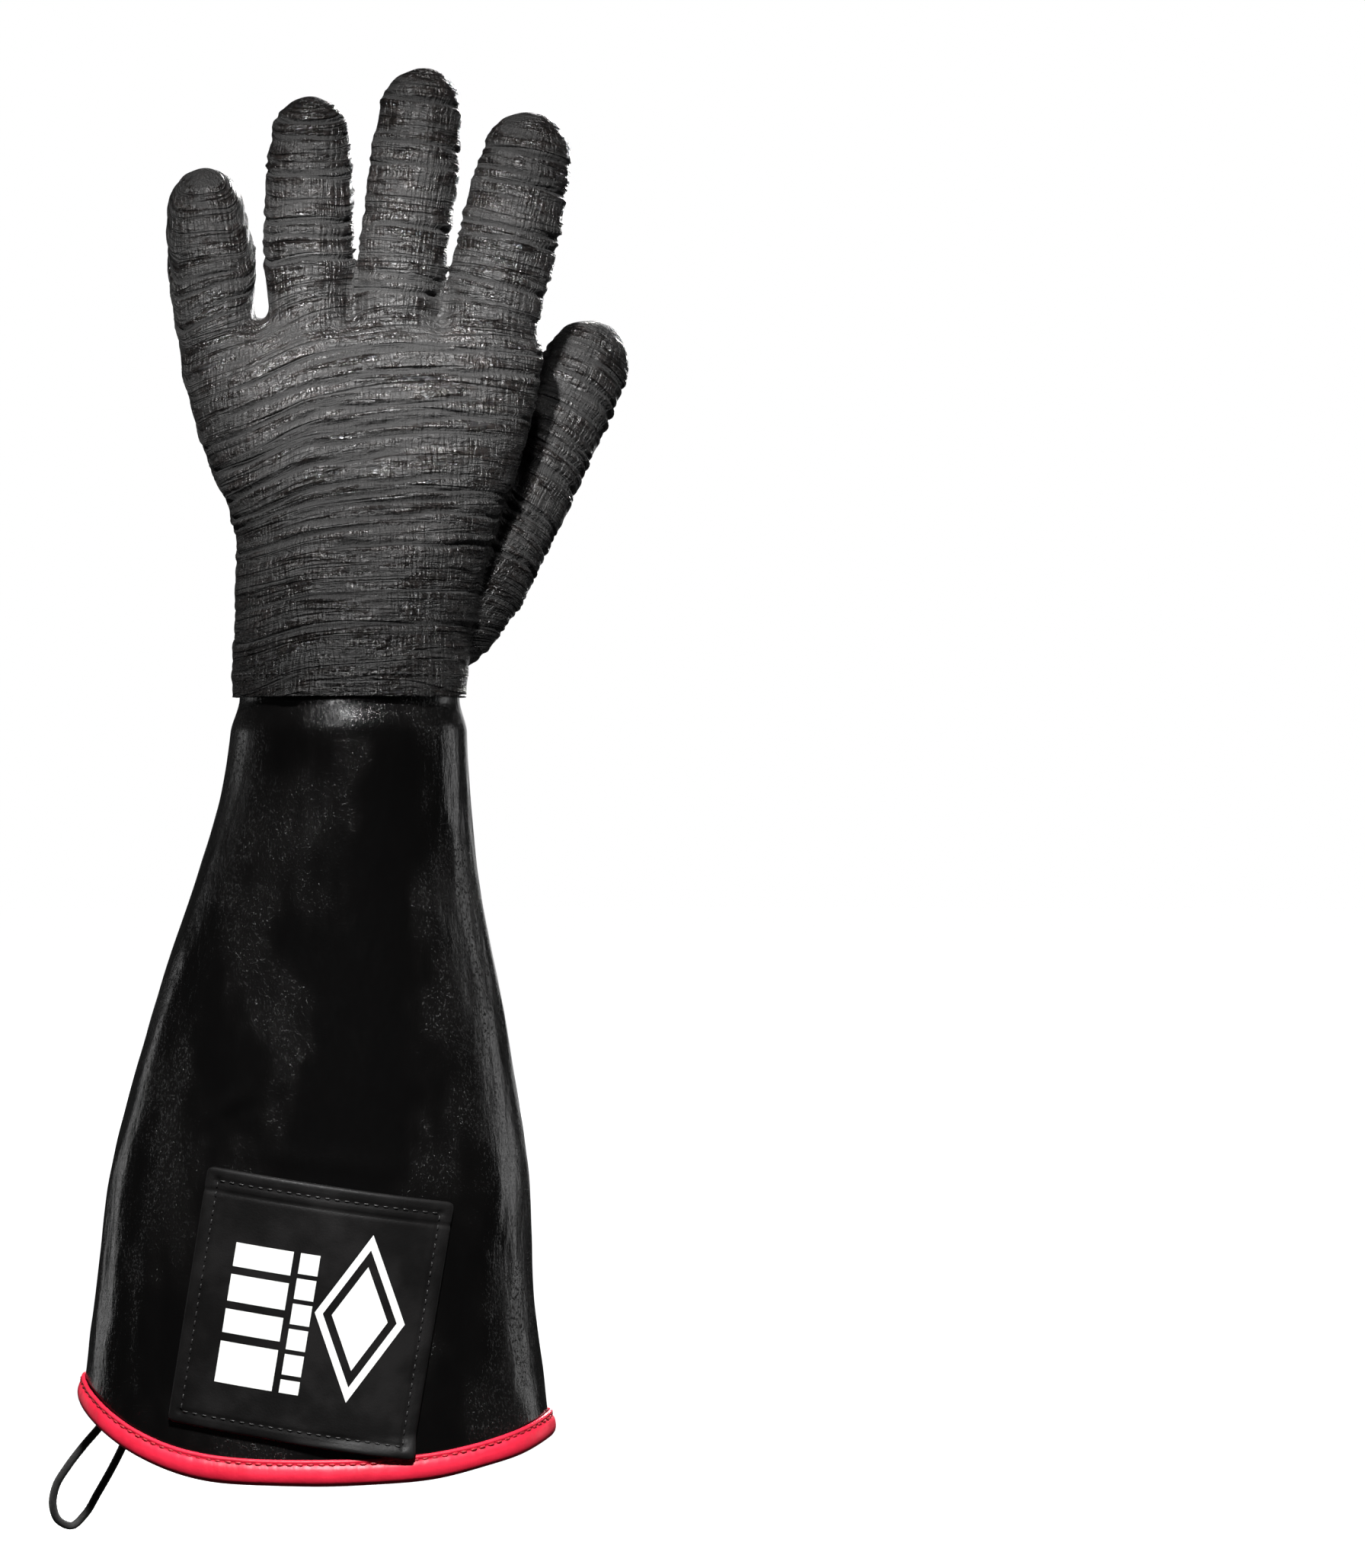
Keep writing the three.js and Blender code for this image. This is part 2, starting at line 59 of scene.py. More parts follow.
camera = bpy.data.objects.new("camera", bpy.data.cameras.new("camera"))
scene.collection.objects.link(camera)
camera.location = (0.119, -1.6, 0.2195)
camera.rotation_euler = (math.pi / 2, 0, 0)
camera.data.lens = 113.6
camera.data.clip_start = 0.05
scene.camera = camera


# ---- Small helpers ----


def unit(vectors):
    vectors = np.asarray(vectors, float)
    return vectors / np.linalg.norm(vectors, axis=-1, keepdims=True)


def reach_along(line):
    """Distance along a line of points, at each of them."""
    return np.concatenate([[0], np.cumsum(np.linalg.norm(np.diff(line, axis=0), axis=1))])


def smooth(value, low, high):
    """0 below low, 1 above high and a soft step between."""
    t = np.clip((np.asarray(value, float) - low) / (high - low), 0, 1)
    return t * t * (3 - 2 * t)


def bell(distance, width):
    return np.exp(-((distance / width) ** 2))


def along_table(table, at):
    """The other columns of a table at these values of its first one, on a smooth line through its rows."""
    table = np.asarray(table, float)
    key, values = table[:, 0], table[:, 1:]
    slope = np.gradient(values, key, axis=0)
    at = np.clip(np.asarray(at, float), key[0], key[-1])
    i = np.clip(np.searchsorted(key, at, side="right") - 1, 0, len(key) - 2)
    step = (key[i + 1] - key[i])[..., None]
    t = (at - key[i])[..., None] / step
    return (
        (2 * t**3 - 3 * t**2 + 1) * values[i]
        + (t**3 - 2 * t**2 + t) * step * slope[i]
        + (3 * t**2 - 2 * t**3) * values[i + 1]
        + (t**3 - t**2) * step * slope[i + 1]
    )


def ripple(u, v, u_size, v_size, count=14):
    """Random soft waves about 1 high, of these typical lengths."""
    total = np.zeros(np.shape(u))
    for _ in range(count):
        a = random.normal(0, 1.0) / u_size
        b = random.normal(0, 1.0) / v_size
        total = total + np.sin(TURN * 0.6 * (a * u + b * v) + random.uniform(0, TURN))
    return total / math.sqrt(count / 2) * 0.7


def grid_quads(rows, columns, wrap_columns=True, wrap_rows=False):
    """Quads over a grid of points numbered row by row."""
    i = np.arange(rows if wrap_rows else rows - 1)[:, None]
    j = np.arange(columns if wrap_columns else columns - 1)[None, :]
    down, right = (i + 1) % rows, (j + 1) % columns
    corners = [i * columns + j, i * columns + right, down * columns + right, down * columns + j]
    return np.stack([np.broadcast_to(c, (i.size, j.size)) for c in corners], -1).reshape(-1, 4)


def merged(parts):
    """Several bodies, each points with quads and triangles, as one."""
    points, quads, triangles, used = [], [], [], 0
    for p, (q, t) in parts:
        points.append(p)
        quads.append(q + used)
        triangles.append(t + used)
        used += len(p)
    return np.concatenate(points), [np.concatenate(quads), np.concatenate(triangles)]


def fan(hub, rim):
    """Triangles from one point to a closed ring of others, by their numbers."""
    return np.stack([np.full(len(rim), hub), rim, np.roll(rim, -1)], -1)


def capped_faces(rows, columns):
    """Quads and end triangles of rings of points that are followed by the middles of both ends."""
    ring = np.arange(columns)
    first = fan(rows * columns, ring)[:, [0, 2, 1]]
    last = fan(rows * columns + 1, ring + (rows - 1) * columns)
    return grid_quads(rows, columns), np.concatenate([first, last])


def new_mesh(name, points, faces, shaded_smooth=True):
    """A mesh from points in millimetres and faces given as arrays of quads or triangles."""
    faces = [np.asarray(f, int) for f in (faces if isinstance(faces, (list, tuple)) else [faces])]
    faces = [f for f in faces if len(f)]
    corners = np.concatenate([f.ravel() for f in faces]).astype(np.int32)
    sizes = np.concatenate([np.full(len(f), f.shape[1]) for f in faces])
    starts = np.concatenate([[0], np.cumsum(sizes)[:-1]]).astype(np.int32)
    mesh = bpy.data.meshes.new(name)
    mesh.vertices.add(len(points))
    mesh.vertices.foreach_set("co", (np.asarray(points, float) * MM).astype(np.float32).ravel())
    mesh.loops.add(len(corners))
    mesh.loops.foreach_set("vertex_index", corners)
    mesh.polygons.add(len(starts))
    mesh.polygons.foreach_set("loop_start", starts)
    mesh.update(calc_edges=True)
    mesh.validate()
    mesh.polygons.foreach_set("use_smooth", np.full(len(mesh.polygons), shaded_smooth))
    return mesh


def new_piece(name, points, faces, material, grain=None, pressed=None, shaded_smooth=True):
    """An object of the glove. grain is the (across, along, through) place of each point in the cloth,
    and pressed is how deep it lies in a crease."""
    mesh = new_mesh(name, points, faces, shaded_smooth)
    for key, kind, field, values in (
        ("grain", "FLOAT_VECTOR", "vector", grain), ("pressed", "FLOAT", "value", pressed),
    ):  # fmt: skip
        if values is not None:
            stored = mesh.attributes.new(key, kind, "POINT")
            stored.data.foreach_set(field, np.asarray(values, np.float32).ravel())
    mesh.materials.append(material)
    piece = bpy.data.objects.new(name, mesh)
    scene.collection.objects.link(piece)
    return piece


def on_body(body, node, points, faces, material, grain=None, form="form"):
    """A piece that rides on one body of the frame in place of a CAD node."""
    piece = new_piece(f"{node}_{form}", points, faces, material, points if grain is None else grain)
    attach(piece, body)
    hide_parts(node)
    return piece


# ---- Materials ----


class Shader:
    """Nodes of one material, added with a(type, inputs by name or number, properties)."""

    def __init__(self, name):
        self.material = bpy.data.materials.new(name)
        self.material.use_nodes = True
        self.tree = self.material.node_tree
        self.tree.nodes.clear()

    def a(self, kind, inputs=None, out=0, **properties):
        node = self.tree.nodes.new("ShaderNode" + kind)
        for key, value in properties.items():
            setattr(node, key, value)
        for key, value in (inputs or {}).items():
            socket = node.inputs[key]
            if isinstance(value, bpy.types.NodeSocket):
                self.tree.links.new(value, socket)
            else:
                socket.default_value = value
        return node.outputs[out]

    def math(self, operation, *values, clamp=False):
        return self.a("Math", dict(enumerate(values)), operation=operation, use_clamp=clamp)

    def times(self, a, b, plus=0.0):
        return self.math("MULTIPLY_ADD", a, b, plus)

    def grain(self, scale):
        """Place in the cloth, in millimetres, times this scale on each axis."""
        place = self.a("Attribute", attribute_name="grain", out="Vector")
        return self.a("VectorMath", {0: place, 1: scale}, operation="MULTIPLY")

    def noise(self, scale, detail=2.0, roughness=0.5):
        """Noise whose lumps are about 1/scale millimetres long on each axis of the cloth."""
        inputs = {"Vector": self.grain(scale), "Scale": 1.0, "Detail": detail, "Roughness": roughness}
        return self.a("TexNoise", inputs, out="Fac", normalize=True)

    def between(self, value, low, high, to_low=0.0, to_high=1.0):
        inputs = {"Value": value, "From Min": low, "From Max": high, "To Min": to_low, "To Max": to_high}
        return self.a("MapRange", inputs, interpolation_type="SMOOTHSTEP")

    def mixed(self, share, low, high):
        """One colour turning into another. Sockets 0, 6, 7 and 2 are those of a colour mix."""
        return self.a("Mix", {0: share, 6: low, 7: high}, out=2, data_type="RGBA")

    def bump(self, height, depth_mm):
        return self.a("Bump", {"Height": height, "Distance": depth_mm * MM, "Strength": 1.0}, out="Normal")

    def surface(self, colour, roughness, normal=None, specular=0.5, sheen=0.0, glow=0.0):
        inputs = {"Base Color": colour, "Roughness": roughness, "Specular IOR Level": specular}
        inputs.update({"Sheen Weight": sheen, "Sheen Roughness": 0.5})
        inputs.update({"Emission Color": (1, 1, 1, 1), "Emission Strength": glow})
        if normal is not None:
            inputs["Normal"] = normal
        shader = self.a("BsdfPrincipled", inputs)
        output = self.tree.nodes.new("ShaderNodeOutputMaterial")
        self.tree.links.new(shader, output.inputs["Surface"])
        return self.material


def textured_neoprene():
    """Black neoprene over a ribbed knit: fine upright ribs crossed by long and short pressed lines. Its
    colour also holds painted light: painted highlights on the rib tops and on the lips of the long lines, and
    painted shade along the pressed lines and down in the creases.
    """
    s = Shader("textured_neoprene")
    ribs = s.between(s.noise((0.95, 0.10, 0.95), 2.0, 0.5), 0.38, 0.62)
    weave = s.between(s.noise((0.32, 0.85, 0.32), 3.0, 0.6), 0.36, 0.64)
    patches = s.between(s.noise((0.030, 0.045, 0.030), 3.0, 0.6), 0.38, 0.64)
    specks = s.noise((2.4, 2.4, 2.4), 2.0, 0.6)
    dull = s.between(s.noise((0.075, 0.26, 0.075), 3.0, 0.65), 0.40, 0.60)

    def off_line(scale):
        """How far the noise is from its middle value, whose level lines are the pressed lines."""
        return s.math("ABSOLUTE", s.math("SUBTRACT", s.noise(scale, 1.5, 0.5), 0.5))

    off_long = off_line((0.011, 0.21, 0.011))
    clear_long, long_lips_relief_and_highlight = s.between(off_long, 0.0, 0.030), s.between(off_long, 0.096, 0.039)
    clear_short = s.between(off_line((0.040, 0.70, 0.040)), 0.0, 0.055)
    clear_short = s.math("MAXIMUM", clear_short, s.times(patches, 0.75))
    height = s.times(ribs, 0.34, s.times(weave, 0.30))
    height = s.times(clear_long, 0.75, height)
    height = s.times(clear_short, 0.35, height)
    height = s.times(long_lips_relief_and_highlight, 0.28, height)
    height = s.times(specks, 0.12, height)
    normal = s.bump(height, 0.95)
    # Painted highlight: the rib tops are given a lighter colour, as if lit.
    top = s.times(ribs, 0.75, 0.25)
    top = s.times(top, s.times(weave, 0.7, 0.3))
    # Painted shade: the colour turns dark along the long and short pressed lines.
    top = s.times(top, s.times(clear_long, clear_short))
    # Painted highlight: the lips beside the long pressed lines are given a lighter colour.
    top = s.times(s.times(long_lips_relief_and_highlight, weave), 0.35, top)
    top = s.times(top, s.between(patches, 0, 1, 0.62, 1.0))
    # Painted shade: the colour darkens where the skin lies deep in a crease of the mesh.
    pressed = s.between(s.a("Attribute", attribute_name="pressed", out="Fac"), 0.08, 0.5)
    top = s.times(top, s.math("SUBTRACT", 1.0, pressed))
    colour = s.mixed(top, (0.0018, 0.0015, 0.0014, 1), (0.0125, 0.0100, 0.0092, 1))
    colour = s.mixed(s.times(dull, 0.7), colour, (0.0018, 0.0015, 0.0014, 1))
    roughness = s.times(specks, 0.12, s.between(patches, 0, 1, 0.16, 0.26))
    roughness = s.times(dull, 0.46, roughness)
    roughness = s.math("MAXIMUM", roughness, s.times(pressed, 0.9))
    return s.surface(colour, roughness, normal, specular=0.5)


def glossy_neoprene():
    """Deep black dipped coating, glossy, with a fine upright grain and scattered glinting pits."""
    s = Shader("glossy_neoprene")
    grain = s.noise((0.62, 0.17, 0.62), 4.0, 0.6)
    skin = s.noise((0.13, 0.07, 0.13), 2.0, 0.5)
    specks = s.noise((1.25, 0.95, 1.25), 3.0, 0.65)
    patches = s.between(s.noise((0.028, 0.017, 0.028), 3.0, 0.6), 0.42, 0.66)
    glints = s.times(s.between(specks, 0.52, 0.74), s.between(patches, 0, 1, 0.12, 0.7))
    height = s.times(grain, 0.40, s.times(skin, 0.30))
    height = s.times(glints, 0.45, height)
    normal = s.bump(height, 0.42)
    colour = s.mixed(patches, (0.0020, 0.0019, 0.0019, 1), (0.0042, 0.0039, 0.0038, 1))
    roughness = s.times(grain, 0.12, s.between(patches, 0, 1, 0.13, 0.22))
    return s.surface(colour, roughness, normal, specular=0.32)


def cotton_lining():
    """Undyed cotton knit: small loops in upright columns, with a soft nap."""
    s = Shader("cotton_lining")
    columns = s.noise((0.7, 0.25, 0.7), 1.0, 0.5)
    nap = s.noise((2.4, 2.4, 2.4), 3.0, 0.6)
    worn = s.noise((0.05, 0.05, 0.05), 2.0, 0.5)
    height = s.times(columns, 0.7, s.times(nap, 0.4))
    tone = s.times(nap, 0.5, s.times(worn, 0.5))
    colour = s.mixed(tone, (0.30, 0.28, 0.24, 1), (0.60, 0.57, 0.50, 1))
    return s.surface(colour, s.between(nap, 0.3, 0.7, 0.85, 0.98), s.bump(height, 0.35), sheen=0.25)


def red_tape():
    """Smooth coated binding tape in a pinkish red, fine grained like leather."""
    s = Shader("red_tape")
    pebbles = s.noise((0.9, 0.9, 0.9), 3.0, 0.6)
    pulls = s.noise((0.45, 0.08, 0.12), 2.0, 0.5)
    worn = s.between(s.noise((0.06, 0.12, 0.06), 3.0, 0.6), 0.35, 0.7)
    height = s.times(pebbles, 0.35, s.times(pulls, 0.8))
    colour = s.mixed(worn, (0.76, 0.019, 0.052, 1), (0.60, 0.012, 0.036, 1))
    roughness = s.times(pebbles, 0.2, 0.36)
    return s.surface(colour, roughness, s.bump(height, 0.16), specular=0.4)


def thread(name, dark, light):
    """Sewing thread: fine slanting twist."""
    s = Shader(name)
    twist = s.noise((3.0, 1.2, 1.2), 2.0, 0.5)
    colour = s.mixed(s.between(twist, 0.35, 0.65), dark, light)
    return s.surface(colour, s.between(twist, 0.3, 0.7, 0.45, 0.65), s.bump(twist, 0.1))


def rubber_patch():
    """Smooth satin black sheet with a barely raised leather grain."""
    s = Shader("rubber_patch")
    pebbles = s.noise((1.3, 1.3, 1.3), 3.0, 0.6)
    cloudy = s.between(s.noise((0.05, 0.05, 0.05), 3.0, 0.6), 0.35, 0.68)
    colour = s.mixed(cloudy, (0.0042, 0.0040, 0.0040, 1), (0.0085, 0.0080, 0.0080, 1))
    roughness = s.times(pebbles, 0.14, s.between(cloudy, 0, 1, 0.38, 0.50))
    return s.surface(colour, roughness, s.bump(pebbles, 0.07), specular=0.14)


def white_print():
    """Matt white ink laid on the patch, a little thin in places."""
    s = Shader("white_print")
    thin = s.noise((1.1, 1.1, 1.1), 4.0, 0.65)
    colour = s.mixed(s.between(thin, 0.30, 0.5), (0.76, 0.76, 0.74, 1), (0.82, 0.82, 0.80, 1))
    return s.surface(colour, s.between(thin, 0.3, 0.7, 0.45, 0.6), s.bump(thin, 0.02))


def black_cord():
    """Braided cord: small slanting lays."""
    s = Shader("black_cord")
    lays = s.noise((1.6, 0.8, 1.6), 2.0, 0.5)
    fuzz = s.noise((4.0, 4.0, 4.0), 2.0, 0.5)
    colour = s.mixed(s.between(lays, 0.3, 0.7), (0.006, 0.006, 0.006, 1), (0.022, 0.021, 0.020, 1))
    height = s.times(fuzz, 0.3, lays)
    return s.surface(colour, s.between(fuzz, 0.3, 0.7, 0.55, 0.8), s.bump(height, 0.2), sheen=0.2)


HAND_SKIN = textured_neoprene()
CUFF_SKIN = glossy_neoprene()
LINING = cotton_lining()
RED_TAPE = red_tape()
RED_THREAD = thread("red_thread", (0.26, 0.004, 0.010, 1), (0.50, 0.012, 0.028, 1))
BLACK_THREAD = thread("black_thread", (0.003, 0.003, 0.003, 1), (0.013, 0.012, 0.012, 1))
PATCH = rubber_patch()
WHITE_PRINT = white_print()
CORD = black_cord()

# ---- Hanging loop, a free cord sewn in at both ends ----

CORD_DIAMETER = 2.6
LOOP_ROUTE = [
    (-65.4, 4.6, 20.6), (-65.8, 4.6, 17.2), (-69.6, 4.6, 11.6), (-75.2, 5, 5), (-80.6, 5.8, -2),
    (-84.6, 7.2, -8.6), (-85.8, 9.2, -15.4), (-84.2, 11.6, -20.4), (-80.2, 13.8, -22.4),
    (-76.2, 15.4, -19), (-72, 16.4, -12), (-67.8, 17, -4.6), (-64, 17.3, 3), (-61.2, 17.2, 9.6),
    (-60.1, 16.9, 13.4), (-60, 16.9, 16.6),
]  # fmt: skip


def through(points, count):
    """A smooth line through points, as count evenly placed ones."""
    points = np.asarray(points, float)
    reach = reach_along(points)
    fine = along_table(np.column_stack([reach, points]), np.linspace(0, reach[-1], count * 8))
    reach = reach_along(fine)
    at = np.linspace(0, reach[-1], count)
    return np.column_stack([np.interp(at, reach, fine[:, k]) for k in range(3)]), reach[-1]


def tube(route, radius, sides=16, wobble=0.0):
    """A closed round tube along a route: its points, faces and places in the cloth."""
    ahead = unit(np.gradient(route, axis=0))
    side = unit(np.cross(ahead, (0.47, 0.88, -0.16)))
    up = np.cross(side, ahead)
    turn = np.arange(sides) * TURN / sides
    reach = reach_along(route)
    lays = np.sin(2 * turn[None] + reach[:, None] * 1.9) * np.sin(2 * turn[None] - reach[:, None] * 1.9)
    size = (radius * (1 + wobble * lays))[..., None]
    out = np.cos(turn)[None, :, None] * side[:, None] + np.sin(turn)[None, :, None] * up[:, None]
    rings = route[:, None] + size * out
    points = np.concatenate([rings.reshape(-1, 3), [route[0], route[-1]]])
    quads, ends = capped_faces(len(route), sides)
    grain = np.zeros((len(points), 3))
    round_axis = np.stack([np.cos(turn), np.sin(turn)], -1) * radius * 2
    grain[:-2, [0, 2]] = np.tile(round_axis, (len(route), 1))
    grain[:-2, 1] = np.repeat(reach, sides)
    return points, [quads[:, ::-1], ends], grain


loop_line, loop_length = through(LOOP_ROUTE, 150)
points, faces, grain = tube(loop_line, CORD_DIAMETER / 2, wobble=0.05)
loop = on_body("loop", "hanging_loop", points, faces, CORD, grain, form="cord")

# ---- Sleeve shape, from the cuff's hem to the top of the palm ----

SLEEVE = [  # height, middle, half width, half depth, squareness
    (-6, 0, 78, 47, 2), (16, 0, 75.5, 46, 2), (54, 0.2, 70.8, 45, 2), (91, 1.6, 67.8, 44, 2),
    (141, 4.3, 57.8, 41, 2), (192, 7.7, 44.9, 37, 2), (217, 10.2, 40, 35.5, 2),
    (239, 11.2, 38, 35, 2), (257, 11.6, 37.9, 33.5, 2), (287, 14.5, 40, 29.5, 2.1),
    (300, 16.5, 42, 28, 2.2), (330, 16, 52.5, 25, 2.3), (345, 15.5, 56.5, 23, 2.3),
    (356, 15.2, 58.3, 20, 2.3), (363, 15.4, 57.5, 16, 2.3), (368, 15.4, 54, 8, 2.3),
]  # fmt: skip
HAND_EDGE, CUFF_TOP, WRIST_TOP = 247.5, 256.5, 289.0
LINING_EDGE, CUFF_LINING_TOP = 268.0, 255.5
CUFF_LIFT = 1.5  # height of the cuff cloth's lower edge over the hem, inside the tape
STITCH_HEIGHT = 5.8
BINDING_HEIGHT = 7.2
HEM_RADIUS, CUFF_RADIUS = 62, 60  # turn an angle into a distance round the hem and the cuff


def sleeve_point(angle, z, out=0.0):
    middle, width, depth, square = np.moveaxis(along_table(SLEEVE, z), -1, 0)
    c, s = np.cos(angle), np.sin(angle)
    x = middle + (width + out) * np.sign(c) * np.abs(c) ** (2 / square)
    y = (depth + out) * np.sign(s) * np.abs(s) ** (2 / square)
    return np.stack([x, y, np.broadcast_to(z, np.shape(x))], -1)


def hem(angle):
    """Height of the sleeve's lower edge."""
    rise = np.where(np.cos(angle) < 0, 22.0, 10.0)
    return rise * np.abs(np.cos(angle)) ** 3


def capped(rings):
    """Points and faces of a closed body through rings of points, from its start to its end."""
    points = np.concatenate([rings.reshape(-1, 3), rings[[0, -1]].mean(1)])
    return points, capped_faces(*rings.shape[:2])


# ---- Digits ----


def leaning(degrees):
    return np.array([math.sin(math.radians(degrees)), 0, math.cos(math.radians(degrees))])


PALM_MIDDLE = 16
FINGER_ROOTS, THUMB_ROOT = 335, 257  # heights where the digits' axes start
THUMB_CENTRE, THUMB_RATE = 34, 0.95  # the thumb's middle across the cloth, and its run along it

# A station is a distance along the digit with the half width and half depth there. pieces are where
# the base and tip pieces start, bends are where each of them turns.
DIGITS = {
    "index": dict(
        root=(48.9, 0, FINGER_ROOTS), ahead=leaning(12.6), pulp=(0, 1, 0), curl=0.0007, length=105, dome=14,
        stations=[(0, 9, 8), (30, 15.1, 13.5), (50, 15.9, 14.2), (78, 15.8, 14), (91, 14.2, 13)],
        pieces=(40, 60), bends=((43.5, 56), (64, 86)),
    ),
    "middle": dict(
        root=(22, 0, FINGER_ROOTS), ahead=leaning(6.7), pulp=(0, 1, 0), curl=0.0007, length=118, dome=14,
        stations=[(0, 9, 8), (30, 13.5, 13.5), (55, 14.2, 14), (90, 14.4, 13.6), (104, 13.2, 12.8)],
        pieces=(40, 63), bends=((43.5, 56), (70, 92)),
    ),
    "ring": dict(
        root=(-2, 0, FINGER_ROOTS), ahead=leaning(0), pulp=(0, 1, 0), curl=0.0007, length=108, dome=14,
        stations=[(0, 9, 8), (30, 13.7, 13.3), (55, 14.4, 13.8), (80, 14.4, 13.5), (94, 13, 12.6)],
        pieces=(40, 60), bends=((43, 55.5), (65, 87)),
    ),
    "little": dict(
        root=(-28.1, 0, FINGER_ROOTS), ahead=leaning(-5.8), pulp=(0, 1, 0), curl=0.0007, length=84.5, dome=14,
        stations=[(0, 8, 7), (30, 13.2, 12.8), (45, 13.8, 13), (58, 14.0, 12.8), (70.5, 12.6, 12)],
        pieces=(39, 53), bends=((42, 52), (54, 72)),
    ),
    "thumb": dict(
        root=(39, 8, THUMB_ROOT), ahead=unit((46.8, 31, 98.5)), pulp=(-0.744, 0.648, 0.15), curl=0,
        length=131.8, dome=15, pieces=(74, 92), bends=((75, 91), (93, 113)),
        stations=[
            (0, 6, 6), (14, 13, 12), (30, 16, 14.5), (60, 16.5, 15), (90, 16, 14.8),
            (116.8, 14.6, 13.8),
        ],
    ),
}  # fmt: skip


def axes_of(digit):
    pulp = unit(digit["pulp"])
    return unit(np.cross(pulp, digit["ahead"])), digit["ahead"], pulp


def axis_point(digit, along):
    _, ahead, pulp = axes_of(digit)
    along = np.asarray(along, float)[..., None]
    return np.array(digit["root"], float) + ahead * along + pulp * digit["curl"] * along**2


def half_sizes(digit, along, out):
    """Half width and half depth, shrinking to nothing over the rounded tip."""
    dome_start = digit["length"] - digit["dome"]
    into = np.clip((along - dome_start) / (digit["dome"] + out), 0, 1)
    sizes = along_table(digit["stations"], np.minimum(along, dome_start)) + out
    return np.moveaxis(sizes * np.sqrt(1 - into**2)[..., None], -1, 0)


def digit_loft(digit, out):
    dome_start = digit["length"] - digit["dome"]
    round_off = np.sin(np.linspace(0, math.pi / 2, 14)[1:-1])
    along = np.concatenate([np.arange(0, dome_start, 1.5), dome_start + round_off * (digit["dome"] + out)])
    side, _, pulp = axes_of(digit)
    width, depth = half_sizes(digit, along, out)
    turn = np.arange(72) * TURN / 72
    rings = axis_point(digit, along)[:, None]
    rings = rings + (width[:, None] * np.cos(turn))[..., None] * side
    rings = rings + (depth[:, None] * np.sin(turn))[..., None] * pulp
    return capped(rings)


def place_on(digit, points):
    """Across, along and towards the pulp from a digit's axis, and how far out as a share of its size."""
    side, ahead, pulp = axes_of(digit)
    away = points - np.array(digit["root"], float)
    along = away @ ahead
    across = away @ side
    through_ = away @ pulp - digit["curl"] * along**2
    dome_start = digit["length"] - digit["dome"]
    width, depth = np.moveaxis(along_table(digit["stations"], np.clip(along, 0, dome_start)), -1, 0)
    share = np.hypot(across / width, through_ / depth)
    return across, along, through_, share


# ---- The hand as one skin ----


def hand_blank(bottom, out):
    """Palm and digits as overlapping closed bodies: points, quads and triangles."""
    turn = np.arange(200) * TURN / 200
    heights = np.concatenate([np.arange(bottom, 363, 1.5), np.linspace(363, 368 + out, 6)])
    lofts = [capped(sleeve_point(turn[None], heights[:, None], out))]
    lofts += [digit_loft(digit, out) for digit in DIGITS.values()]
    return merged(lofts)


def as_one_skin(points, faces, voxel):
    """Points, quads and edges of the outside of overlapping bodies."""
    mesh = new_mesh("blank", points, faces)
    blank = bpy.data.objects.new("blank", mesh)
    scene.collection.objects.link(blank)
    remesh = blank.modifiers.new("remesh", "REMESH")
    remesh.mode = "VOXEL"
    remesh.voxel_size = voxel * MM
    made = blank.evaluated_get(bpy.context.evaluated_depsgraph_get()).to_mesh()
    found = np.empty(len(made.vertices) * 3)
    made.vertices.foreach_get("co", found)
    corners = np.empty(len(made.loops), np.int32)
    made.loops.foreach_get("vertex_index", corners)
    edges = np.empty(len(made.edges) * 2, np.int32)
    made.edges.foreach_get("vertices", edges)
    bpy.data.objects.remove(blank)
    bpy.data.meshes.remove(mesh)
    return found.reshape(-1, 3) / MM, corners.reshape(-1, 4), edges.reshape(-1, 2)


def relaxed(points, edges, rounds, share):
    """Each point moved by a share of the way to the mean of its neighbours, in rounds."""
    a, b = edges.T
    count = np.bincount(edges.ravel(), minlength=len(points))
    for _ in range(rounds):
        sums = [
            np.bincount(a, points[b, k], len(points)) + np.bincount(b, points[a, k], len(points))
            for k in range(3)
        ]
        points = points + share * (np.stack(sums, -1) / count[:, None] - points)
    return points


def normals_of(points, quads):
    a, b, c, d = (points[quads[:, k]] for k in range(4))
    shares = np.repeat(np.cross(c - a, d - b), 4, axis=0)
    total = np.stack([np.bincount(quads.ravel(), shares[:, k], len(points)) for k in range(3)], -1)
    return total / np.maximum(np.linalg.norm(total, axis=1), 1e-12)[:, None]


# Where two digits part, and where the thumb parts from the palm: x, z and how far the fold reaches.
WEBS = [(41.6, 373, 10), (12.5, 375, 9), (-17.3, 371, 9), (64, 318, 15)]


def rounded_webs(points, edges, size):
    near = np.zeros(len(points))
    for x, z, reach in WEBS:
        near = np.maximum(near, bell(np.hypot(points[:, 0] - x, points[:, 2] - z), reach))
    points = relaxed(points, edges, int(170 / size**2 * 0.56), 0.5 * near[:, None])
    return relaxed(points, edges, max(int(14 / size**2 * 0.56), 2), 0.5)


def bow(u, z, back):
    """How far below its peak a level line of the cloth lies: lines climb towards the thumb side."""
    climb = 0.0021 * (u - 30) ** 2 * (0.25 + 0.75 * smooth(z, 278, 318)) + 4.0 * smooth(-u, 12, 40)
    return climb * (0.3 + 0.7 * back)


def cloth_centre(digit):
    """Across in the cloth of a finger's middle, taken where it leaves the palm."""
    return digit["root"][0] + digit["ahead"][0] * 46 - PALM_MIDDLE


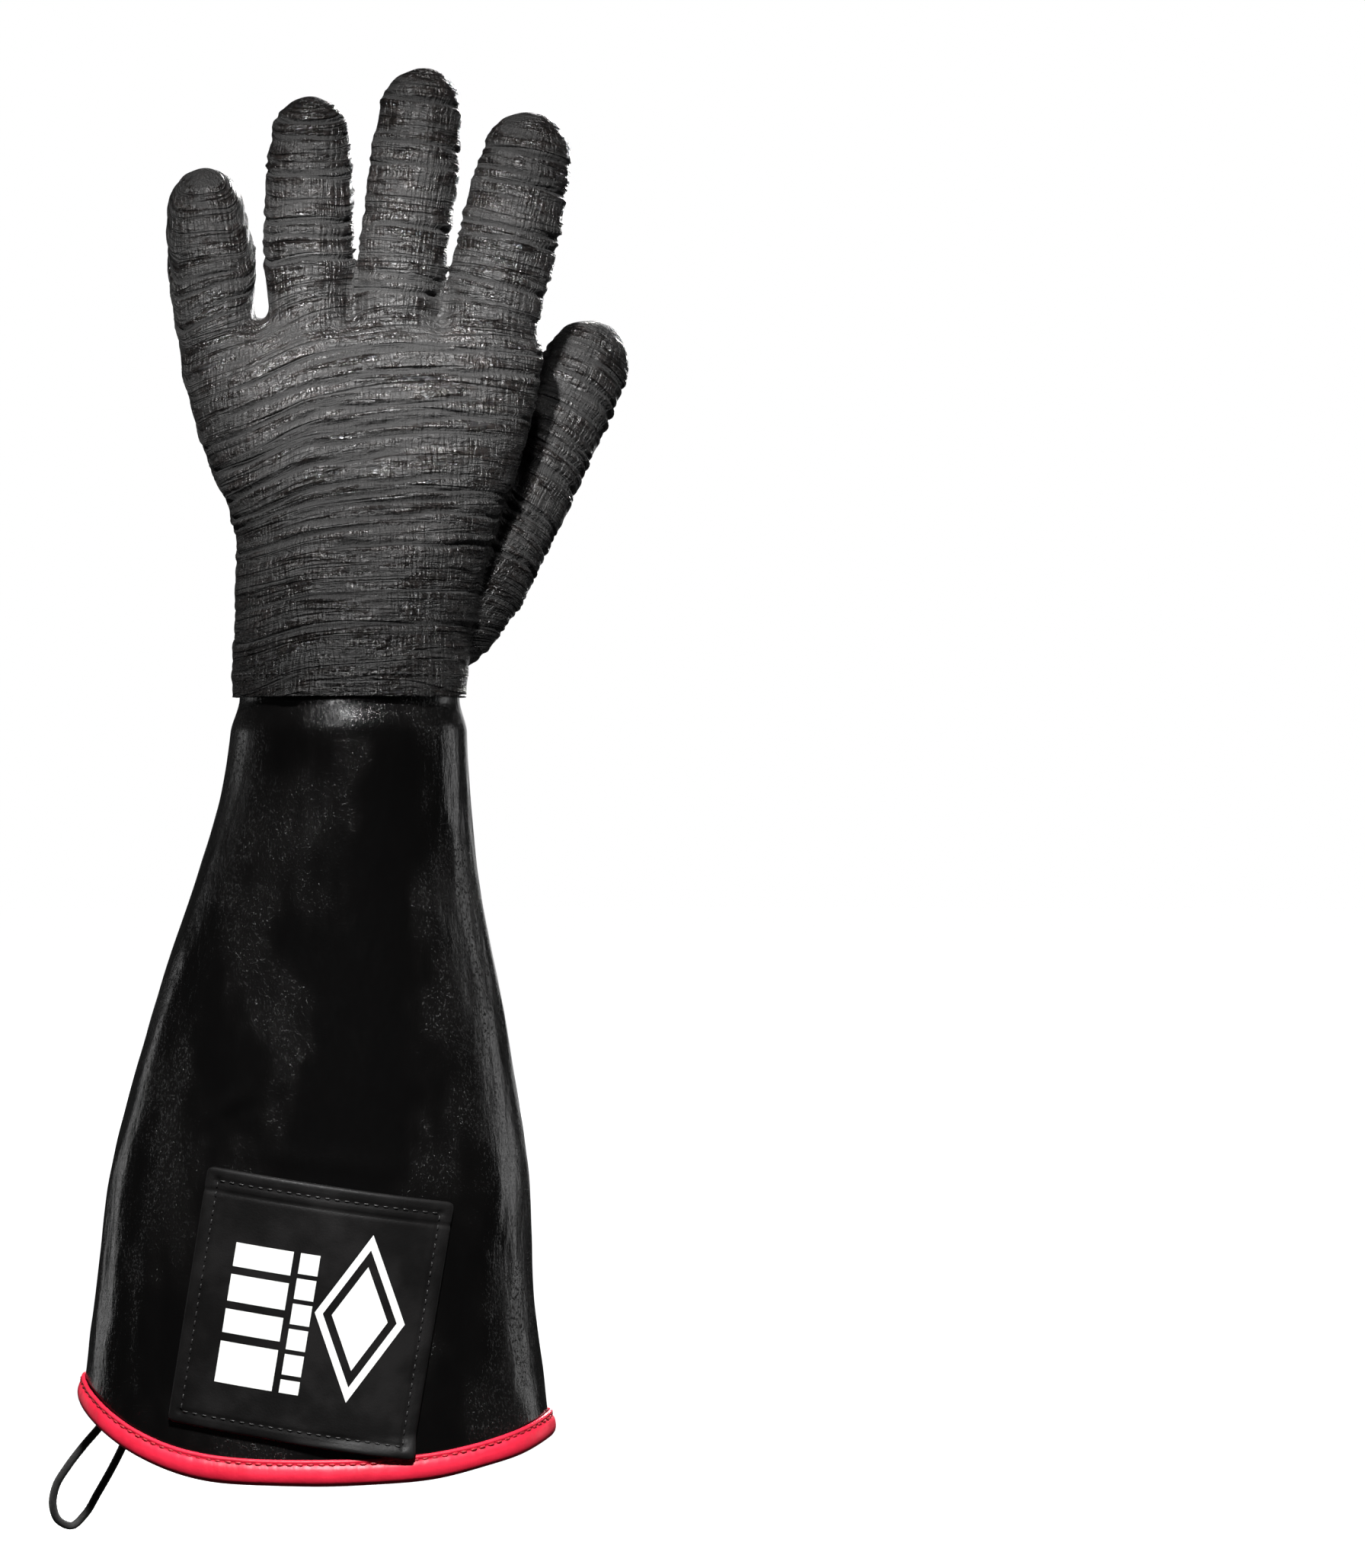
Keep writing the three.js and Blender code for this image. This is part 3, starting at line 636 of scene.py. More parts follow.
def cloth_places(points):
    """Across, along and through for each point, running on from the palm into each digit."""
    back = smooth(-points[:, 1], -8, 8)
    u = points[:, 0] - PALM_MIDDLE
    grain = np.stack([u, points[:, 2] + bow(u, points[:, 2], back), points[:, 1]], -1)
    nearest = np.full(len(points), 1e9)
    digit_index = np.full(len(points), -1)
    along_digit = np.zeros(len(points))
    for index, (name, digit) in enumerate(DIGITS.items()):
        across, along, through_, share = place_on(digit, points)
        if name == "thumb":
            own = np.stack([across + THUMB_CENTRE, THUMB_ROOT + along * THUMB_RATE, through_], -1)
            weight = smooth(along, 8, 50) * (1 - smooth(share, 1.15, 1.9))
            share = share + 10 * (along < 60)
        else:
            start = cloth_centre(digit)
            turning = 1 - smooth(along, 30, 62)
            level = bow(start, points[:, 2], back)
            level = level + (bow(u, points[:, 2], back) - level) * turning
            own = np.stack([across + start, FINGER_ROOTS + along + level, through_], -1)
            weight = smooth(along, 26, 46)
            share = share + 10 * (along < 24)
            weight = weight * (share < nearest)
        grain = grain + weight[:, None] * (own - grain)
        closer = share < nearest
        digit_index[closer] = index
        along_digit[closer] = along[closer]
        nearest = np.minimum(nearest, share)
    return grain, digit_index, along_digit, nearest


def crease(u, v, middle, height, reach, depth, width, wave):
    """One pressed line: a groove with two low lips, a little wavy, fading at its ends.
    Gives its height, and the depth of the groove alone."""
    line = height + wave * (np.sin(u / 7.1 + height) * 0.6 + np.sin(u / 3.3 + middle) * 0.35)
    off = (v - line) / width
    fade = 1 - smooth(np.abs(u - middle), reach * 0.55, reach)
    lips = 0.42 * bell(np.abs(off) - 2.1, 1.0)
    return depth * fade * (lips - bell(off, 1.0)), depth * fade * bell(off, 1.0)


def line_sizes(bold_share, bold, faint):
    """Reach, depth and width of a random pressed line, from the ranges of bold or of faint ones."""
    return [random.uniform(*limits) for limits in (bold if random.random() < bold_share else faint)]


def relief(points, grain, digit_index, along_digit, nearest):
    """Height of the creases and puckers at each point of the hand's skin, and depth of the creases."""
    u, v, w = grain.T
    back = smooth(-w, -3, 5)
    total = np.zeros(len(points))
    pressed = np.zeros(len(points))
    in_palm = 1 - smooth(points[:, 2], 364, 378)

    def add(where, *shape):
        close = np.nonzero((np.abs(v - shape[1]) < 6) & (where > 0.01))[0]
        height, depth = crease(u[close], v[close], *shape)
        total[close] += where[close] * height
        pressed[close] = np.maximum(pressed[close], where[close] * depth)

    thumbness = (digit_index == 4) & (nearest < 1.5)
    palm_only = np.where(thumbness, 0.0, in_palm)
    # Straight pressed lines round the wrist, then the climbing ones of the back and the palm.
    for height, depth in ((261.8, 0.40), (270.8, 0.75), (273.2, 0.35), (281.0, 0.6)):
        add(palm_only, 0, height, 90, depth, 0.8, 0.25)
    for side in (back, 1 - back):
        height = 287.0
        while height < 388:
            bold, faint = ((30, 80), (0.75, 1.3), (0.7, 0.95)), ((9, 30), (0.2, 0.5), (0.6, 0.8))
            sizes = line_sizes(0.46, bold, faint)
            middle = random.uniform(-38, 38)
            add(side * palm_only, middle, height, *sizes, random.uniform(0.3, 1.0))
            height += random.uniform(0.9, 3.6)
    # Lines across each digit, boldest near its joints.
    for index, (name, digit) in enumerate(DIGITS.items()):
        own = (digit_index == index) & (nearest < 1.6)
        thumb = name == "thumb"
        start = THUMB_ROOT if thumb else FINGER_ROOTS
        rate = THUMB_RATE if thumb else 1.0
        centre = THUMB_CENTRE if thumb else cloth_centre(digit)
        first = 18 if thumb else 36
        for side, back_share in ((back, 1.0), (1 - back, 0.0)):
            level = 0 if thumb else bow(centre, 380.0, back_share)
            where = np.where(own, side * smooth(along_digit, first, first + 6), 0.0)
            along = first + 2.0
            while along < digit["length"] - 9:
                bold, faint = ((18, 28), (0.75, 1.2), (0.65, 0.9)), ((5, 14), (0.14, 0.4), (0.6, 0.75))
                sizes = line_sizes(0.34, bold, faint)
                middle = centre + random.uniform(-9, 9)
                height = start + along * rate + level
                add(where, middle, height, *sizes, random.uniform(0.3, 0.8))
                along += random.uniform(1.5, 4.6)
    # Soft hollows running down from each web, and low rolling of the whole skin.
    for x, z, _ in WEBS[:3]:
        hollow = bell(points[:, 0] - x, 3.4) * smooth(points[:, 2], z - 24, z - 3)
        total -= 1.1 * hollow * (1 - smooth(points[:, 2], z + 4, z + 12))
    total += 0.30 * ripple(u, v, 26, 9) + 0.20 * ripple(u, v, 10, 5)
    return total, pressed


def skin_pieces(digit_index, along_digit, nearest, points, quads):
    """The piece that each face belongs to: wrist, hand, or a digit's base or tip."""
    middle = points[quads].mean(1)
    names = np.where(middle[:, 2] < WRIST_TOP, 0, 1)
    owner = digit_index[quads[:, 0]]
    along = along_digit[quads[:, 0]]
    for index, (name, digit) in enumerate(DIGITS.items()):
        base, tip = digit["pieces"]
        close = nearest[quads[:, 0]] < (1.2 if name == "thumb" else 1.7)
        names[(owner == index) & close & (along > base)] = 2 + 2 * index
        names[(owner == index) & close & (along > tip)] = 3 + 2 * index
    return names


def trimmed(points, quads, edge):
    """The skin above its lower edge, which is made level."""
    kept = quads[points[quads].mean(1)[:, 2] > edge]
    removed = quads[points[quads].mean(1)[:, 2] <= edge]
    border = np.intersect1d(kept.ravel(), removed.ravel())
    points = points.copy()
    points[border, 2] = edge
    return points, kept


def walled(points, quads, normals, thickness):
    """A patch of skin with an inner face and a rim, as a closed body, and the normals at its points."""
    count = len(points)
    inner = points - normals * thickness
    sides = np.concatenate([quads[:, [0, 1]], quads[:, [1, 2]], quads[:, [2, 3]], quads[:, [3, 0]]])
    keys = sides.min(1).astype(np.int64) * count + sides.max(1)
    _, first, seen = np.unique(keys, return_index=True, return_counts=True)
    rim = sides[first[seen == 1]]
    rim_quads = np.stack([rim[:, 1], rim[:, 0], rim[:, 0] + count, rim[:, 1] + count], -1)
    faces = np.concatenate([quads, quads[:, ::-1] + count, rim_quads])
    return np.concatenate([points, inner]), faces, np.concatenate([normals, -normals])


SKIN_NAMES = ["wrist", "hand"] + [f"{name}_{part}" for name in DIGITS for part in ("base", "tip")]


def make_hand(suffix, material, out, voxel, thickness, edge):
    """All of one layer of the hand, cut into a wrist, a hand, and a base and a tip piece for each digit; only
    the shell's hand piece is set on a body.
    """
    points, quads, edges = as_one_skin(*hand_blank(edge - 12, out), voxel)
    points = rounded_webs(points, edges, voxel)
    normals = normals_of(points, quads)
    grain, *rest = cloth_places(points)
    pressed = np.zeros(len(points))
    if suffix == "shell":
        # pressed, the depth of the creases, also darkens the hand's colour as painted shade.
        height, pressed = relief(points, grain, *rest)
        points = points + normals * height[:, None]
        points = relaxed(points, edges, 1, 0.25)
        normals = normals_of(points, quads)
    points, quads = trimmed(points, quads, edge)
    pieces = skin_pieces(*rest, points, quads)
    if suffix == "lining":
        pieces = np.maximum(pieces, 1)
    for number, name in enumerate(SKIN_NAMES):
        own = quads[pieces == number]
        if not len(own):
            continue
        used, renumbered = np.unique(own, return_inverse=True)
        wall_points, faces, wall_normals = walled(
            points[used], renumbered.reshape(-1, 4), normals[used], thickness
        )
        cloth = np.tile(grain[used], (2, 1)), np.tile(pressed[used], 2)
        piece = new_piece(f"{name}_{suffix}_form", wall_points, faces, material, *cloth)
        piece.data.normals_split_custom_set_from_vertices(wall_normals)
        if name == "wrist" or (name == "hand" and suffix == "lining"):
            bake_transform(piece)
        elif name == "hand":
            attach(piece, "hand")
        else:
            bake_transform(piece)
        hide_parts(f"{name}_{suffix}")


make_hand("shell", HAND_SKIN, 0.0, 0.84, 1.6, HAND_EDGE)
make_hand("lining", LINING, -2.5, 2.2, 1.0, LINING_EDGE)

# ---- Cuff ----

BACK_FOLDS = [  # height of a soft ridge, its width, and its line as (z, x) points
    (0.75, 3.0, [
        (95, -36), (107, -34), (115, -29), (122, -20), (132, -13), (146, -9), (163, -6), (190, -2),
        (226, 1),
    ]),
    (0.7, 5.0, [(22, -66), (60, -62), (100, -58), (140, -48), (176, -38)]),
    (0.7, 4.0, [(28, -53), (60, -52), (92, -48)]),
    (0.8, 6.0, [(18, 62), (60, 60), (100, 55), (150, 46), (190, 37)]),
    (0.8, 4.0, [(24, 53), (50, 55), (84, 51)]),
    (0.7, 4.0, [(24, -72), (70, -70), (110, -62)]),
]  # fmt: skip


def label_frame(x, z):
    """Across and up on the label for points on the back of the cuff."""
    turn = math.radians(LABEL_TURN)
    dx, dz = x - LABEL_X, z - LABEL_Z
    return dx * math.cos(turn) + dz * math.sin(turn), dz * math.cos(turn) - dx * math.sin(turn)


LABEL_WIDTH, LABEL_HEIGHT, LABEL_X, LABEL_Z, LABEL_TURN = 77.0, 81.5, 1.6, 52.9, -9.0


def cuff_folds(points, angle):
    """How far the cuff's coated cloth stands out from its plain shape."""
    x, z = points[..., 0], points[..., 2]
    back = smooth(-np.sin(angle), 0.0, 0.35)
    total = np.zeros(x.shape)
    for height, width, line in BACK_FOLDS:
        at = np.array(line, float)
        slope = (along_table(at, z + 0.5) - along_table(at, z - 0.5))[..., 0]
        off = (x - along_table(at, z)[..., 0]) / np.sqrt(1 + slope**2)
        ends = smooth(z, at[0, 0] - 10, at[0, 0] + 12) * (1 - smooth(z, at[-1, 0] - 14, at[-1, 0] + 6))
        total += back * ends * height * (bell(off, width) - 0.45 * bell(off - width * 1.7, width * 1.2))
    total += back * 0.35 * bell(z - 101 + 0.12 * x, 4.0) * bell(x - 3, 46)
    arc = angle * CUFF_RADIUS
    total += smooth(np.sin(angle), 0.05, 0.5) * (0.8 * ripple(arc, z, 34, 90) + 0.2 * ripple(arc, z, 15, 34))
    total += 0.12 * ripple(arc, z, 20, 40) + 0.05 * ripple(arc, z, 7, 14)
    total += 0.45 * ripple(arc, z, 16, 90) * (1 - smooth(z, 30, 110)) * (1 - 0.6 * back)
    a, b = label_frame(x, z)
    in_label = smooth(LABEL_WIDTH / 2 + 7 - np.abs(a), 0, 9) * smooth(LABEL_HEIGHT / 2 + 6 - np.abs(b), 0, 8)
    total = total * (1 - 0.93 * in_label * back)
    near_seams = smooth(z - hem(angle), 8, 24) * (1 - smooth(z, 226, 244))
    return total * near_seams


def cuff_layer(columns, rows, out, top, folded):
    angle = np.broadcast_to(np.arange(columns) * TURN / columns, (rows, columns))
    bottom = hem(angle) + CUFF_LIFT
    z = bottom + (top - bottom) * np.linspace(0, 1, rows)[:, None]
    tuck = 2.3 * smooth(z, 236, 247.2)
    plain = sleeve_point(angle, z, out - tuck)
    away = sleeve_point(angle, z, out - tuck + 1.0) - plain
    return plain + away * (cuff_folds(plain, angle) * folded)[..., None]


def closed_band(outer, inner):
    """A closed body between two layers of the same grid, wrapped round an opening."""
    rows, columns = outer.shape[:2]
    count = rows * columns
    faces = grid_quads(rows, columns)
    low = np.arange(columns)
    low_next = np.roll(low, -1)
    first = np.stack([low_next, low, low + count, low_next + count], -1)
    high, high_next = (ring + (rows - 1) * columns for ring in (low, low_next))
    last = np.stack([high, high_next, high_next + count, high + count], -1)
    points = np.concatenate([outer.reshape(-1, 3), inner.reshape(-1, 3)])
    return points, np.concatenate([faces, faces[:, ::-1] + count, first, last])


def make_cuff():
    """Coated cloth and its cotton lining. Both faces of both have the same random folds."""
    shell_grid = ((340, 280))
    seed = random.bit_generator.state
    for node, material, grid, depths, top, folded in (
        ("cuff_shell", CUFF_SKIN, shell_grid, (0.0, -1.8), CUFF_TOP, 1.0),
        ("cuff_lining", LINING, (160, 110), (-2.4, -3.6), CUFF_LINING_TOP, 0.9),
    ):
        layers = []
        for depth in depths:
            random.bit_generator.state = seed
            layers.append(cuff_layer(*grid, depth, top, folded))
        points, faces = closed_band(*layers)
        shell_grain = np.tile(layers[0][..., [0, 2, 1]].reshape(-1, 3), (2, 1))
        on_body("cuff", node, points, faces, material, shell_grain if node == "cuff_shell" else None)


make_cuff()

# ---- Red bound hem ----

# Section of the folded tape: distance out from the cuff's face and height above the hem.
BINDING_SECTION = [
    (0.25, 7.1), (0.9, 7.35), (1.35, 7.0), (1.5, 6.55), (1.3, 6.15), (1.05, 5.75), (1.35, 5.3),
    (1.75, 4.6), (2.0, 3.6), (2.1, 2.5), (1.95, 1.3), (1.5, 0.2), (0.6, -0.7), (-0.6, -1.15), (-1.8, -1.3),
    (-3.0, -1.15), (-4.2, -0.5), (-5.0, 0.5), (-5.35, 1.6), (-5.4, 3.0), (-5.2, 4.4), (-4.8, 5.3),
    (-4.6, 5.75), (-4.75, 6.2), (-4.95, 6.6), (-4.8, 7.05), (-4.3, 7.3), (-3.85, 7.1), (-3.75, 5.0),
    (-3.75, 1.2), (-1.8, 0.9), (0.25, 1.2), (0.25, 5.0),
]  # fmt: skip


def make_binding():
    """Folded tape that is drawn in along its stitches and rolls a little at its edge."""
    table = np.array(BINDING_SECTION + BINDING_SECTION[:1])
    reach = reach_along(table)
    section = along_table(np.column_stack([reach, table]), np.linspace(0, reach[-1], 90)[:-1])
    columns = 620
    angle = np.arange(columns) * TURN / columns

    def waves(length):
        return ripple(angle * HEM_RADIUS, 0.0, length, 1)

    pulls = waves(4.5) * 0.5 + waves(2.6) * 0.4
    roll = waves(30)
    rings = []
    for out, height in section:
        face = 1 if out > -1.8 else -1
        tight = 0.16 * bell(height - STITCH_HEIGHT + 0.8, 2.4) * face
        bulge = 0.22 * roll * face * smooth(height, -1, 4)
        z = hem(angle) + height - 0.25 * roll * (height < 3)
        rings.append(sleeve_point(angle, z, out + tight * pulls + bulge))
    points = np.concatenate(rings)
    faces = grid_quads(len(rings), columns, wrap_rows=True)[:, ::-1]
    on_body("cuff", "hem_binding", points, faces, RED_TAPE, points[:, [0, 2, 1]])


make_binding()

# ---- Stitches ----


def stitches(middles, ahead, outward, length, radius):
    """Separate sewn stitches: short rounded bars that dip at both ends."""
    sides, steps = 8, 9
    t = np.linspace(-1, 1, steps)
    size = radius * np.sqrt(np.clip(1 - np.abs(t) ** 4, 0.02, 1))
    turn = np.arange(sides) * TURN / sides
    across = np.cross(ahead, outward)
    out_by = (np.cos(turn)[None] * size[:, None] * 0.9 + (0.25 - 0.9 * np.abs(t[:, None]) ** 3) * radius)
    side_by = np.sin(turn)[None] * size[:, None]
    along_by = np.broadcast_to((t * length / 2)[:, None], out_by.shape)
    rings = (
        middles[:, None, None]
        + along_by[None, ..., None] * ahead[:, None, None]
        + out_by[None, ..., None] * outward[:, None, None]
        + side_by[None, ..., None] * across[:, None, None]
    )
    count, each = len(middles), steps * sides
    points = np.concatenate([rings.reshape(count, each, 3), rings.mean(2)[:, [0, -1]]], 1)
    offset = (np.arange(count) * (each + 2))[:, None, None]
    faces = [(own[None] + offset).reshape(-1, own.shape[1]) for own in capped_faces(steps, sides)]
    return points.reshape(-1, 3), faces


def square_to(ahead, outward):
    """Unit directions nearest to outward that are square to ahead."""
    return unit(outward - (outward * ahead).sum(1)[:, None] * ahead)


def ring_stitches(z, out, out_by, pitch, length, radius):
    """Stitches round the sleeve at these heights, evenly placed but for a little wander."""
    angle = np.arange(len(z)) * TURN / len(z)
    line, outer = (sleeve_point(angle, z, at)[np.arange(-len(z), 1)] for at in (out, out_by))
    reach = reach_along(line)
    count = int(reach[-1] / pitch)
    at = (np.arange(count) + 0.5 + random.uniform(-0.06, 0.06, count)) * reach[-1] / count

    def pick(source, where):
        return np.stack([np.interp(where % reach[-1], reach, source[:, k]) for k in range(3)], -1)

    middles = pick(line, at)
    ahead = unit(pick(line, at + length / 2) - pick(line, at - length / 2))
    return stitches(middles, ahead, square_to(ahead, pick(outer, at) - middles), length, radius)


def make_ring_threads():
    around = 900
    z = hem(np.arange(around) * TURN / around) + STITCH_HEIGHT
    rows = [ring_stitches(z, out, out + face, 3.3, 2.5, 0.42) for out, face in ((1.12, 1), (-4.65, -1))]
    on_body("cuff", "hem_stitching", *merged(rows), RED_THREAD)
    wrist = ring_stitches(np.full(around, 254.6), 0.05, 1.0, 3.0, 2.1, 0.34)
    on_body("cuff", "wrist_stitching", *wrist, BLACK_THREAD)


make_ring_threads()

# ---- Label ----

LABEL_THICKNESS = 1.2
PRINT_THICKNESS = 0.12
STITCH_INSET = 4.0
SETTLING = 38.5, 40.7  # half width and height over which the label settles from its waves to flat edges


def on_label(across, up, height):
    """A point over the back of the cuff, by its place on the label."""
    turn = math.radians(LABEL_TURN)
    across, up = np.asarray(across, float), np.asarray(up, float)
    x = LABEL_X + across * math.cos(turn) - up * math.sin(turn)
    z = LABEL_Z + across * math.sin(turn) + up * math.cos(turn)
    middle, width, _, _ = np.moveaxis(along_table(SLEEVE, z), -1, 0)
    angle = -np.arccos(np.clip((x - middle) / width, -1, 1))
    over_hem = 1 - smooth(z - hem(angle), BINDING_HEIGHT + 0.5, BINDING_HEIGHT + 7)
    wave = 0.22 * np.sin(across / 11 + up / 23) + 0.18 * np.sin(up / 9 - across / 31)
    edge = smooth(np.maximum(np.abs(across) / SETTLING[0], np.abs(up) / SETTLING[1]), 0.8, 1.0)
    stand_off = 0.75 + 1.9 * over_hem + wave * (1 - edge) * 0.9 + height
    return sleeve_point(angle, z, stand_off)


def label_height(across, up):
    """Relief of the label's face: rounded rim, stitch groove and a pressed line below its top edge."""
    to_side = LABEL_WIDTH / 2 - np.abs(across)
    to_end = LABEL_HEIGHT / 2 - np.abs(up)
    to_edge = np.minimum(to_side, to_end)
    height = LABEL_THICKNESS - 0.55 * (1 - np.sqrt(np.clip(to_edge / 1.1, 0, 1)))
    height = height - 0.30 * bell(to_side - STITCH_INSET, 0.7) * (to_end > 3)
    height = height - 0.30 * bell(to_end - STITCH_INSET, 0.7) * (to_side > 3)
    return height - 0.35 * bell(LABEL_HEIGHT / 2 - up - 7.4, 0.6)


def make_label():
    steps = 0.6
    a = np.linspace(-LABEL_WIDTH / 2, LABEL_WIDTH / 2, int(LABEL_WIDTH / steps))
    b = np.linspace(-LABEL_HEIGHT / 2, LABEL_HEIGHT / 2, int(LABEL_HEIGHT / steps))
    corner = 2.2
    across, up = np.meshgrid(a, b)
    # Corners are rounded by drawing the grid in where it passes outside them.
    over_a = np.maximum(np.abs(across) - (LABEL_WIDTH / 2 - corner), 0)
    over_b = np.maximum(np.abs(up) - (LABEL_HEIGHT / 2 - corner), 0)
    over = np.hypot(over_a, over_b)
    shrink = np.where(over > corner, corner / np.maximum(over, 1e-9), 1)
    across_in = across - np.sign(across) * over_a * (1 - shrink)
    up_in = up - np.sign(up) * over_b * (1 - shrink)
    top = on_label(across_in, up_in, label_height(across, up))
    bottom = on_label(across_in, up_in, np.zeros(across.shape))
    faces = grid_quads(*across.shape, wrap_columns=False)
    index = np.arange(across.size).reshape(across.shape)
    rim = np.concatenate([index[0], index[1:, -1], index[-1, -2::-1], index[-2:0:-1, 0]])
    rim_next = np.roll(rim, -1)
    wall = np.stack([rim_next, rim, rim + across.size, rim_next + across.size], -1)
    points = np.concatenate([top.reshape(-1, 3), bottom.reshape(-1, 3)])
    grain = np.tile(np.stack([across, up, np.zeros(across.shape)], -1).reshape(-1, 3), (2, 1))
    faces = np.concatenate([faces, faces[:, ::-1] + across.size, wall])
    on_body("cuff", "label_patch", points, faces, PATCH, grain)
    rows = []
    inset = np.array([LABEL_WIDTH / 2 - STITCH_INSET, LABEL_HEIGHT / 2 - STITCH_INSET])
    corners = inset * [(-1, -1), (1, -1), (1, 1), (-1, 1)]
    for start, end in zip(corners, np.roll(corners, -1, 0)):
        length = np.linalg.norm(end - start)
        count = int(length / 2.9)
        at = start + (end - start) * ((np.arange(count) + 0.5) / count)[:, None]
        step = (end - start) / length
        middles = on_label(*at.T, 0.98)
        ahead = unit(on_label(*(at + step).T, 0.98) - on_label(*(at - step).T, 0.98))
        outward = square_to(ahead, on_label(*at.T, 2.0) - middles)
        rows.append(stitches(middles, ahead, outward, 2.0, 0.3))
    on_body("cuff", "label_stitching", *merged(rows), BLACK_THREAD)


def print_shape(outline, hole=None):
    """A thin closed piece of print over the label, as a strip between two outlines or a filled one."""
    middle = outline.mean(0)
    inner = middle + (outline - middle) * 0.04 if hole is None else hole
    share = np.linspace(0, 1, 7)[:, None, None]
    across, up = np.moveaxis(outline * (1 - share) + inner * share, -1, 0)
    base = label_height(across, up)
    top = on_label(across, up, base + PRINT_THICKNESS)
    low = on_label(across, up, base - 0.1)
    points, quads = closed_band(top, low)
    if hole is not None:
        return points, [quads, np.zeros((0, 3), int)]
    # A filled shape is closed by two fans in place of its inner wall.
    last = np.arange(across.size - len(outline), across.size)
    up_fan = fan(2 * across.size, last)
    down_fan = fan(2 * across.size + 1, last + across.size)[:, [0, 2, 1]]
    points = np.concatenate([points, [top[-1].mean(0), low[-1].mean(0)]])
    return points, [quads[: -len(outline)], np.concatenate([up_fan, down_fan])]


def polygon(corners, step=1.2):
    """Corners joined by straight lines, with points along them, turning anticlockwise."""
    corners = np.asarray(corners, float)
    points = []
    for start, end in zip(corners, np.roll(corners, -1, 0)):
        count = max(int(np.linalg.norm(end - start) / step), 1)
        points += [start + (end - start) * k / count for k in range(count)]
    return np.array(points)


def make_print():
    """A plain mark: a diamond inside a diamond outline, beside two rows of plain blocks."""
    lozenge = np.array([(0, -26.5), (13.8, 0), (0, 26.5), (-13.8, 0)])
    middle = np.array([15.5, 1.0])
    outline = polygon(lozenge + middle)
    parts = [
        print_shape(outline, middle + (outline - middle) * 0.82),
        print_shape(polygon(lozenge * 0.62 + middle)),
    ]
    for a, b, width, height in (
        (-16.5, 15, 18, 7.5), (-16.5, 4.5, 18, 8.5), (-16.5, -6, 18, 7.5), (-16.5, -19, 18, 13),
        (-2.3, 15.5, 6, 6.5), (-2.3, 7.5, 6, 6.5), (-2.3, -0.5, 6, 6.5), (-2.3, -8.5, 6, 6.5),
        (-2.3, -16.5, 6, 6.5), (-2.3, -23.4, 6, 4.2),
    ):  # fmt: skip
        w, h = width / 2, height / 2
        block = polygon([(a - w, b - h), (a + w, b - h), (a + w, b + h), (a - w, b + h)])
        parts.append(print_shape(block))
    points, faces = merged(parts)
    piece = new_piece("label_print", points, faces, WHITE_PRINT, points, shaded_smooth=False)
    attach(piece, "cuff")


make_label()
make_print()

# ---- Ends of the loop, sewn inside the hem ----


def make_anchor(node, exit):
    """A short flat run of the cord above its exit, held by two rows of tack stitches."""
    x, y, z = exit
    line = np.array([(x, y, z + 1.3 + t) for t in np.linspace(0, 14.6, 40)])
    outward = unit((x / 75.5**2, y / 46**2, 0))
    along_hem = np.cross((0, 0, 1), outward)
    turn = np.arange(20) * TURN / 20
    end = np.sqrt(np.clip(1 - (2 * np.linspace(0, 1, 40) - 1) ** 10, 0.05, 1))[:, None, None]
    rings = line[:, None] + end * (
        1.28 * np.cos(turn)[None, :, None] * outward + 1.95 * np.sin(turn)[None, :, None] * along_hem
    )
    heights = np.array([3.0, 4.4, 5.8, 10.2, 11.6, 13.0])
    middles = np.tile(np.array([x, y, z + 1.3]) + outward * -1.25, (len(heights), 1))
    middles[:, 2] += heights
    directions = np.tile(along_hem, (len(heights), 1)), np.tile(-outward, (len(heights), 1))
    tacks = stitches(middles, *directions, 3.4, 0.3)
    on_body("cuff", node, *merged([capped(rings), tacks]), CORD)


make_anchor("loop_anchor_front", LOOP_ROUTE[0])
make_anchor("loop_anchor_rear", LOOP_ROUTE[-1])

# ---- Floor, backdrop and light ----


